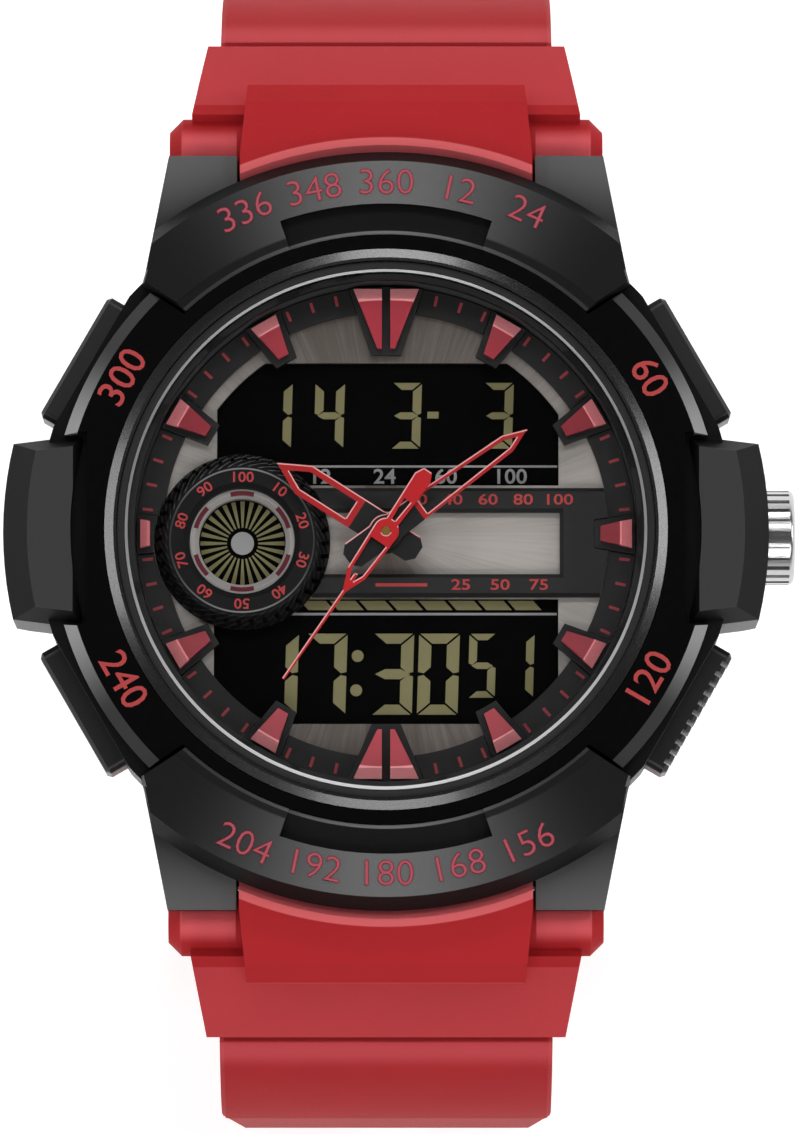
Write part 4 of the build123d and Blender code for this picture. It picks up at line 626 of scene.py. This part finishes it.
# The hands' upper edges that face 12 carry a painted highlight: width of the bright line, its lift, and how
# far an edge has to face 12.
# A face is of a hand's top where it lies within "depth" of the highest point and rises no less than "flat".
handGlint = {"width": 0.085, "lift": 0.012, "facing": 0.3, "depth": 0.1, "flat": 0.95, "weld": 0.0001}


def handEdge(hand, body, size=handGlint):
    solid = bmesh.new()
    solid.from_mesh(nodes[hand].data)
    solid.transform(nodes[hand].matrix_world)
    bmesh.ops.remove_doubles(solid, verts=solid.verts, dist=size["weld"] * mm)
    solid.normal_update()
    lowest = max(vert.co.z for vert in solid.verts) - size["depth"] * mm
    tops = [face for face in solid.faces
            if face.normal.z > size["flat"] and face.calc_center_median().z > lowest]
    lift = Vector((0, 0, size["lift"] * mm))
    lines = bmesh.new()
    for loop in (loop for face in tops for loop in face.loops):
        if all(other in tops for other in loop.edge.link_faces):
            continue
        start, end = loop.vert.co, loop.link_loop_next.vert.co
        outward = Vector((end.y - start.y, start.x - end.x, 0)).normalized()
        if outward.y < size["facing"]:
            continue
        inward = outward * -size["width"] * mm
        lines.faces.new([lines.verts.new(spot + lift) for spot in (start, end, end + inward, start + inward)])
    solid.free()
    newPiece(hand + "_edge", lines, body, inks["handGlint"])


# Liquid crystal: the level of its segments, and which segments each figure lights
liquid = {"low": 8.05, "high": 8.07}
lit = {"0": "abcdef", "1": "bc", "2": "abged", "3": "abgcd", "4": "fgbc", "5": "afgcd", "6": "afgedc",
       "7": "abc", "8": "abcdefg", "9": "abcdfg"}
upperRow = {"low": 5.87, "height": 4.42, "width": 1.97, "stroke": 0.58,
            "figures": (("1", -8.35), ("4", -4.85), ("3", 0.3), ("3", 6.45))}
lowerRow = {"low": -11.98, "height": 5.43, "width": 2.72, "stroke": 0.84,
            "figures": (("1", -8.7), ("7", -5.45), ("3", -1.0), ("0", 2.05))}
smallRow = {"low": -10.84, "height": 4.28, "width": 1.8, "stroke": 0.54, "figures": (("5", 5.45), ("1", 8.0))}
dash = ((2.75, 7.9), (3.5, 7.9), (3.52, 8.35), (2.77, 8.35))
colon = {"dots": ((-1.9, -8.05), (-2.0, -10.35)), "radius": 0.4, "sides": 24}
barGraph = {"bars": 8, "left": -5.75, "pitch": 1.98, "length": 1.72, "lean": 0.56,
            "low": -4.97, "high": -4.35}


def segment(bm, corners):
    plate(bm, corners, liquid["low"], liquid["high"])


def disc(bm, x, y, radius, sides):
    bmesh.ops.create_circle(bm, cap_ends=True, segments=sides, radius=radius,
                            matrix=Matrix.Translation((x, y, liquid["high"])))


def digit(bm, text, left, low, width, height, stroke, slant=0.03, gap=0.09):
    # a seven segment figure with mitred ends, leaning a little to the right
    half = height / 2
    s, g = stroke, gap
    shapes = {
        "a": [(g, height), (width - g, height), (width - s - g / 2, height - s * 0.8),
              (s + g / 2, height - s * 0.8)],
        "d": [(g, 0), (width - g, 0), (width - s - g / 2, s * 0.8), (s + g / 2, s * 0.8)],
        "g": [(g * 2, half), (s, half + s * 0.4), (width - s, half + s * 0.4), (width - g * 2, half),
              (width - s, half - s * 0.4), (s, half - s * 0.4)],
        "b": [(width, height - g), (width, half + g * 1.6), (width - s * 0.45, half + g * 0.7),
              (width - s, half + s * 0.45 + g), (width - s, height - s * 0.85 - g)],
        "c": [(width, g), (width, half - g * 1.6), (width - s * 0.45, half - g * 0.7),
              (width - s, half - s * 0.45 - g), (width - s, s * 0.85 + g)],
        "f": [(0, height - g), (0, half + g * 1.6), (s * 0.45, half + g * 0.7), (s, half + s * 0.45 + g),
              (s, height - s * 0.85 - g)],
        "e": [(0, g), (0, half - g * 1.6), (s * 0.45, half - g * 0.7), (s, half - s * 0.45 - g),
              (s, s * 0.85 + g)],
    }
    for part in lit[text]:
        segment(bm, [(left + x + slant * y, low + y) for x, y in shapes[part]])


def displayFigures(bars=barGraph):
    bm = bmesh.new()
    for row in (upperRow, lowerRow, smallRow):
        for text, left in row["figures"]:
            digit(bm, text, left, row["low"], row["width"], row["height"], row["stroke"])
    segment(bm, dash)
    for x, y in colon["dots"]:
        disc(bm, x, y, colon["radius"], colon["sides"])
    for index in range(bars["bars"]):
        left = bars["left"] + index * bars["pitch"]
        right = left + bars["length"]
        segment(bm, [(left + bars["lean"], bars["low"]), (right + bars["lean"], bars["low"]),
                     (right, bars["high"]), (left, bars["high"])])
    newPiece("displayFigures", scaled(bm), "case", inks["segmentOlive"])


# Small dial: a fan of lit blades, each over "share" of its step, a grey hub, and red dashes on the rim
fan = {"inner": 1.05, "outer": 2.82, "blades": 28, "share": 0.48, "hub": 0.77, "hubSides": 40}
dashes = {"count": 6, "first": 30, "spread": 28, "radius": 3.22, "width": 0.3, "lift": 0.01}


def fanBlades(size=fan, middle=smallDial):
    bm = bmesh.new()
    step = 2 * math.pi / size["blades"]
    near, far = size["inner"] * step * size["share"] / 2, size["outer"] * step * size["share"] / 2
    segment(bm, [(size["inner"], -near), (size["outer"], -far), (size["outer"], far), (size["inner"], near)])
    bmesh.ops.spin(bm, geom=bm.verts[:] + bm.edges[:] + bm.faces[:], cent=(0, 0, 0), axis=(0, 0, 1),
                   dvec=(0, 0, 0), angle=step * (size["blades"] - 1), steps=size["blades"] - 1,
                   use_duplicate=True)
    bmesh.ops.translate(bm, vec=(middle["x"], middle["y"], 0), verts=bm.verts)
    newPiece("fanBlades", scaled(bm), "case", inks["segmentOlive"])


# The rules across the two windows: left and right end, middle and half width
rules = ((-11.2, 11.45, 4.67, 0.07), (-11.4, 11.4, -5.24, 0.08))


def displayPrint(size=fan, middle=smallDial):
    bm = bmesh.new()
    disc(bm, middle["x"], middle["y"], size["hub"], size["hubSides"])
    for left, right, level, half in rules:
        segment(bm, rectangle(left, right, level - half, level + half))
    newPiece("displayPrint", scaled(bm), "case", inks["printGrey"])


# Minute ticks stand between the hour markers
minuteTicks = {"inner": 15.65, "outer": 16.35, "half": 0.1, "level": 9.215}


def chapterTicks(size=minuteTicks):
    bm = bmesh.new()
    middle = (size["outer"] + size["inner"]) / 2
    for minute in range(60):
        if minute % 5 == 0:
            continue
        turn = Matrix.Rotation(math.radians(90 - 6 * minute), 3, "Z")
        made = bmesh.ops.create_grid(bm, x_segments=1, y_segments=1, size=0.5)
        bmesh.ops.scale(bm, vec=(size["outer"] - size["inner"], size["half"] * 2, 1), verts=made["verts"])
        bmesh.ops.translate(bm, vec=(middle, 0, size["level"]), verts=made["verts"])
        bmesh.ops.rotate(bm, cent=(0, 0, 0), matrix=turn, verts=made["verts"])
    newPiece("chapterTicks", scaled(bm), "case", inks["printDullRed"])


def rimDashes(size=dashes, middle=smallDial):
    bm = bmesh.new()
    for index in range(size["count"]):
        angle = math.radians(size["first"] + 360 / size["count"] * index)
        made = bmesh.ops.create_grid(bm, x_segments=1, y_segments=6, size=0.5)
        for vert in made["verts"]:
            along = angle + vert.co.y * math.radians(size["spread"])
            reach = size["radius"] + vert.co.x * size["width"]
            vert.co = (reach * math.cos(along), reach * math.sin(along), 0)
    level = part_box("subdial_rim")[1].z / mm + size["lift"]
    bmesh.ops.translate(bm, vec=(middle["x"], middle["y"], level), verts=bm.verts)
    newPiece("rimDashes", scaled(bm), "case", inks["printDeepRed"])


# Numbers come from the built-in typeface, whose figures are this share of its size
figureShare = 0.72


def figures(bm, text, size, place, turn=0.0):
    # a number centred on its place
    curve = bpy.data.curves.new("figures", "FONT")
    curve.body = text
    curve.align_x = "CENTER"
    curve.align_y = "CENTER"
    curve.size = size["height"] / figureShare
    curve.offset = size["bold"]
    curve.extrude = size["depth"] / 2
    curve.resolution_u = 3
    holder = bpy.data.objects.new("figures", curve)
    mesh = bpy.data.meshes.new_from_object(holder)
    mesh.transform(Matrix.Diagonal((size["stretch"], 1, 1, 1)))
    mesh.transform(Matrix.Rotation(turn, 4, "Z"))
    mesh.transform(Matrix.Translation(place))
    bm.from_mesh(mesh)
    bpy.data.meshes.remove(mesh)
    bpy.data.objects.remove(holder)
    bpy.data.curves.remove(curve)


# Rings of numbers, in degrees clockwise from 12; the readable ones turn upright in the lower half.
# Compass bearings stand where a watch of this kind carries its legends.
capBearings = (336, 348, 360, 12, 24, 204, 192, 180, 168, 156)
capFigures = {"x": 0, "y": 0, "radius": 23.0, "height": 1.75, "depth": 0.08, "level": 14.22, "stretch": 1.05,
              "bold": 0.0, "readable": True,
              "texts": [(str(bearing), bearing) for bearing in capBearings]}
# the cap figures' paler core over their darker edge: a painted highlight over painted shade
capLitCore = {"bold": -0.04, "level": 14.27, "depth": 0.04}
bezelFigures = {"x": 0, "y": 0, "radius": 20.15, "height": 1.9, "depth": 0.05, "level": 13.4, "stretch": 1.0,
                "bold": 0.015, "readable": True,
                "texts": [("300", 300), ("60", 60), ("120", 120), ("240", 240)]}
dialFigures = {**smallDial, "radius": 4.2, "height": 0.7, "depth": 0.04, "level": 10.45, "stretch": 1.1,
               "bold": 0.012, "readable": False,
               "texts": [(str(10 * tenth), 36 * tenth) for tenth in range(1, 10)] + [("100", 0)]}


def ringFigures(name, size, finish):
    bm = bmesh.new()
    for text, clockwise in size["texts"]:
        angle = math.radians(90 - clockwise)
        turn = angle - math.pi / 2
        if size["readable"] and 90 < clockwise < 270:
            turn += math.pi
        place = (size["x"] + size["radius"] * math.cos(angle), size["y"] + size["radius"] * math.sin(angle),
                 size["level"])
        figures(bm, text, size, place, turn)
    newPiece(name, scaled(bm), "case", finish)


# Straight scales: numbers and where each stands; the two bars of the centre frame also carry a red dash
barScale = {"height": 0.72, "depth": 0.03, "stretch": 1.35, "bold": 0.012,
            "rows": ((2.28, (("20", 2.1), ("40", 4.45), ("60", 6.8), ("80", 9.15), ("100", 11.5))),
                     (-3.43, (("25", 5.0), ("50", 7.6), ("75", 10.2)))),
            "dash": (-0.7, 2.75, -3.52, -3.3), "sunk": 0.02, "raised": 0.015}
windowScale = {"height": 1.0, "depth": 0.02, "stretch": 1.1, "bold": 0.02,
               "rows": ((3.95, (("12", -4.4), ("24", -0.1), ("60", 4.0), ("100", 8.3))),)}


def straightFigures(bm, size, level):
    for y, texts in size["rows"]:
        for text, x in texts:
            figures(bm, text, size, (x, y, level))


def barFigures(size=barScale):
    bm = bmesh.new()
    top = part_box("dial_frame")[1].z / mm
    straightFigures(bm, size, top)
    plate(bm, rectangle(*size["dash"]), top - size["sunk"], top + size["raised"])
    newPiece("barFigures", scaled(bm), "case", inks["printRed"])


def windowFigures(size=windowScale):
    bm = bmesh.new()
    straightFigures(bm, size, liquid["high"])
    newPiece("windowFigures", scaled(bm), "case", inks["printGrey"])


capSkirts()
for name, size in pairBars.items():
    pairBar(name, size)
for hand, size in hands.items():
    handEdge(hand, size["body"])
displayFigures()
fanBlades()
displayPrint()
chapterTicks()
rimDashes()
barFigures()
windowFigures()
ringFigures("capFigures", capFigures, inks["printCapShadedEdge"])
ringFigures("capLitCores", {**capFigures, **capLitCore}, inks["printCapLitCore"])
ringFigures("bezelFigures", bezelFigures, inks["printRed"])
ringFigures("dialFigures", dialFigures, inks["printRed"])
print("cap skirts, bars, hand edges and print in place")

# Ground: it glows a little where the camera sees it, more so far off, and is clear from below
groundPlane = {"level": -62.25, "half": 2400, "paint": 0.86, "lift": 0.45, "farLift": 0.86, "far": 600,
               "farSoft": 360}


def seenDirectly(finish):
    # 1 for the camera's own rays and for what it sees through glass or in a mirror
    camera, mirror, glass = (finish.add("ShaderNodeLightPath", {}, (), f"Is {ray} Ray")
                             for ray in ("Camera", "Glossy", "Transmission"))
    return camera.join("MAXIMUM", mirror).join("MAXIMUM", glass)


def grey(level):
    return (level, level, level, 1)


def whiteGround(size=groundPlane):
    bm = bmesh.new()
    bmesh.ops.create_grid(bm, x_segments=1, y_segments=1, size=size["half"])
    bmesh.ops.translate(bm, vec=(0, 0, size["level"]), verts=bm.verts)
    mesh = bpy.data.meshes.new("ground")
    scaled(bm).to_mesh(mesh)
    bm.free()
    ground = bpy.data.objects.new("ground", mesh)
    bpy.context.scene.collection.objects.link(ground)
    finish = Finish("groundWhite", Roughness=0.9, Base_Color=grey(size["paint"]), Emission_Strength=1.0)
    far = finish.radius().above(size["far"], size["farSoft"])
    lift = finish.mix(far, grey(size["lift"]), grey(size["farLift"]))
    finish.feed(Emission_Color=finish.mix(seenDirectly(finish), grey(0), lift),
                Alpha=1.0 - finish.add("ShaderNodeNewGeometry", {}, (), "Backfacing"))
    mesh.materials.append(finish.material)


# Sky: white along the horizon and dark overhead; it darkens over "band", where 1 is straight up
sky = {"horizon": 1.0, "zenith": 0.07, "band": (0.1, 0.5)}


def studioWorld(size=sky):
    world = bpy.data.worlds.new("studio")
    bpy.context.scene.world = world
    shader = Shader(world)
    direction = shader.add("ShaderNodeTexCoord", {}, (), "Generated")
    height = shader.add("ShaderNodeSeparateXYZ", {}, (direction,), "Z")
    glow = shader.add("ShaderNodeMapRange", {"interpolation_type": "SMOOTHSTEP"},
                      (height, *size["band"], size["horizon"], size["zenith"]))
    back = shader.add("ShaderNodeBackground", {}, (glow,))
    shader.node("ShaderNodeOutputWorld", {}, (back,))


# Four boxes that the rim's bevel mirrors and two high ones off the middle, in watts; all aim at one place
lamps = {
    "leftBox": {"place": (-480, 50, 370), "wide": 320, "deep": 100, "power": 0.7},
    "rightBox": {"place": (480, 90, 370), "wide": 280, "deep": 100, "power": 0.8},
    "topBox": {"place": (20, 500, 330), "wide": 200, "deep": 100, "power": 0.6},
    "frontBox": {"place": (0, -450, 420), "wide": 270, "deep": 100, "power": 0.55},
    "highTop": {"place": (0, 360, 740), "wide": 800, "deep": 180, "power": 1.7},
    "highFront": {"place": (0, -420, 700), "wide": 800, "deep": 180, "power": 1.7},
}
lampAim = (0, 0, 10)


def softBox(name, size, aim=lampAim):
    lamp = bpy.data.lights.new(name, "AREA")
    lamp.shape = "RECTANGLE"
    lamp.size = size["wide"] * mm
    lamp.size_y = size["deep"] * mm
    lamp.energy = size["power"]
    box = bpy.data.objects.new(name, lamp)
    bpy.context.scene.collection.objects.link(box)
    box.visible_camera = False
    place = Vector(size["place"])
    box.location = place * mm
    box.rotation_euler = (Vector(aim) - place).to_track_quat("-Z", "Y").to_euler()


# Camera: "tall" is the height of what the picture shows at the target's distance
view = {"target": (0.93, -2.25, 10.0), "elevation": 85.0, "distance": 700.0, "tall": 75.6, "sensor": 36.0,
        "near": 50.0}


def photoCamera(size=view):
    camera = bpy.data.cameras.new("photoCamera")
    camera.sensor_width = size["sensor"]
    camera.lens = size["sensor"] * size["distance"] / size["tall"]
    camera.clip_start = size["near"] * mm
    holder = bpy.data.objects.new("photoCamera", camera)
    bpy.context.scene.collection.objects.link(holder)
    up = math.radians(size["elevation"])
    offset = Vector((0, -math.cos(up), math.sin(up))) * size["distance"]
    holder.location = (Vector(size["target"]) + offset) * mm
    holder.rotation_euler = (math.radians(90 - size["elevation"]), 0, 0)
    bpy.context.scene.camera = holder


whiteGround()
studioWorld()
for name, size in lamps.items():
    softBox(name, size)
photoCamera()
bpy.context.scene.view_settings.view_transform = "Standard"
print("stage, lamps and camera ready")
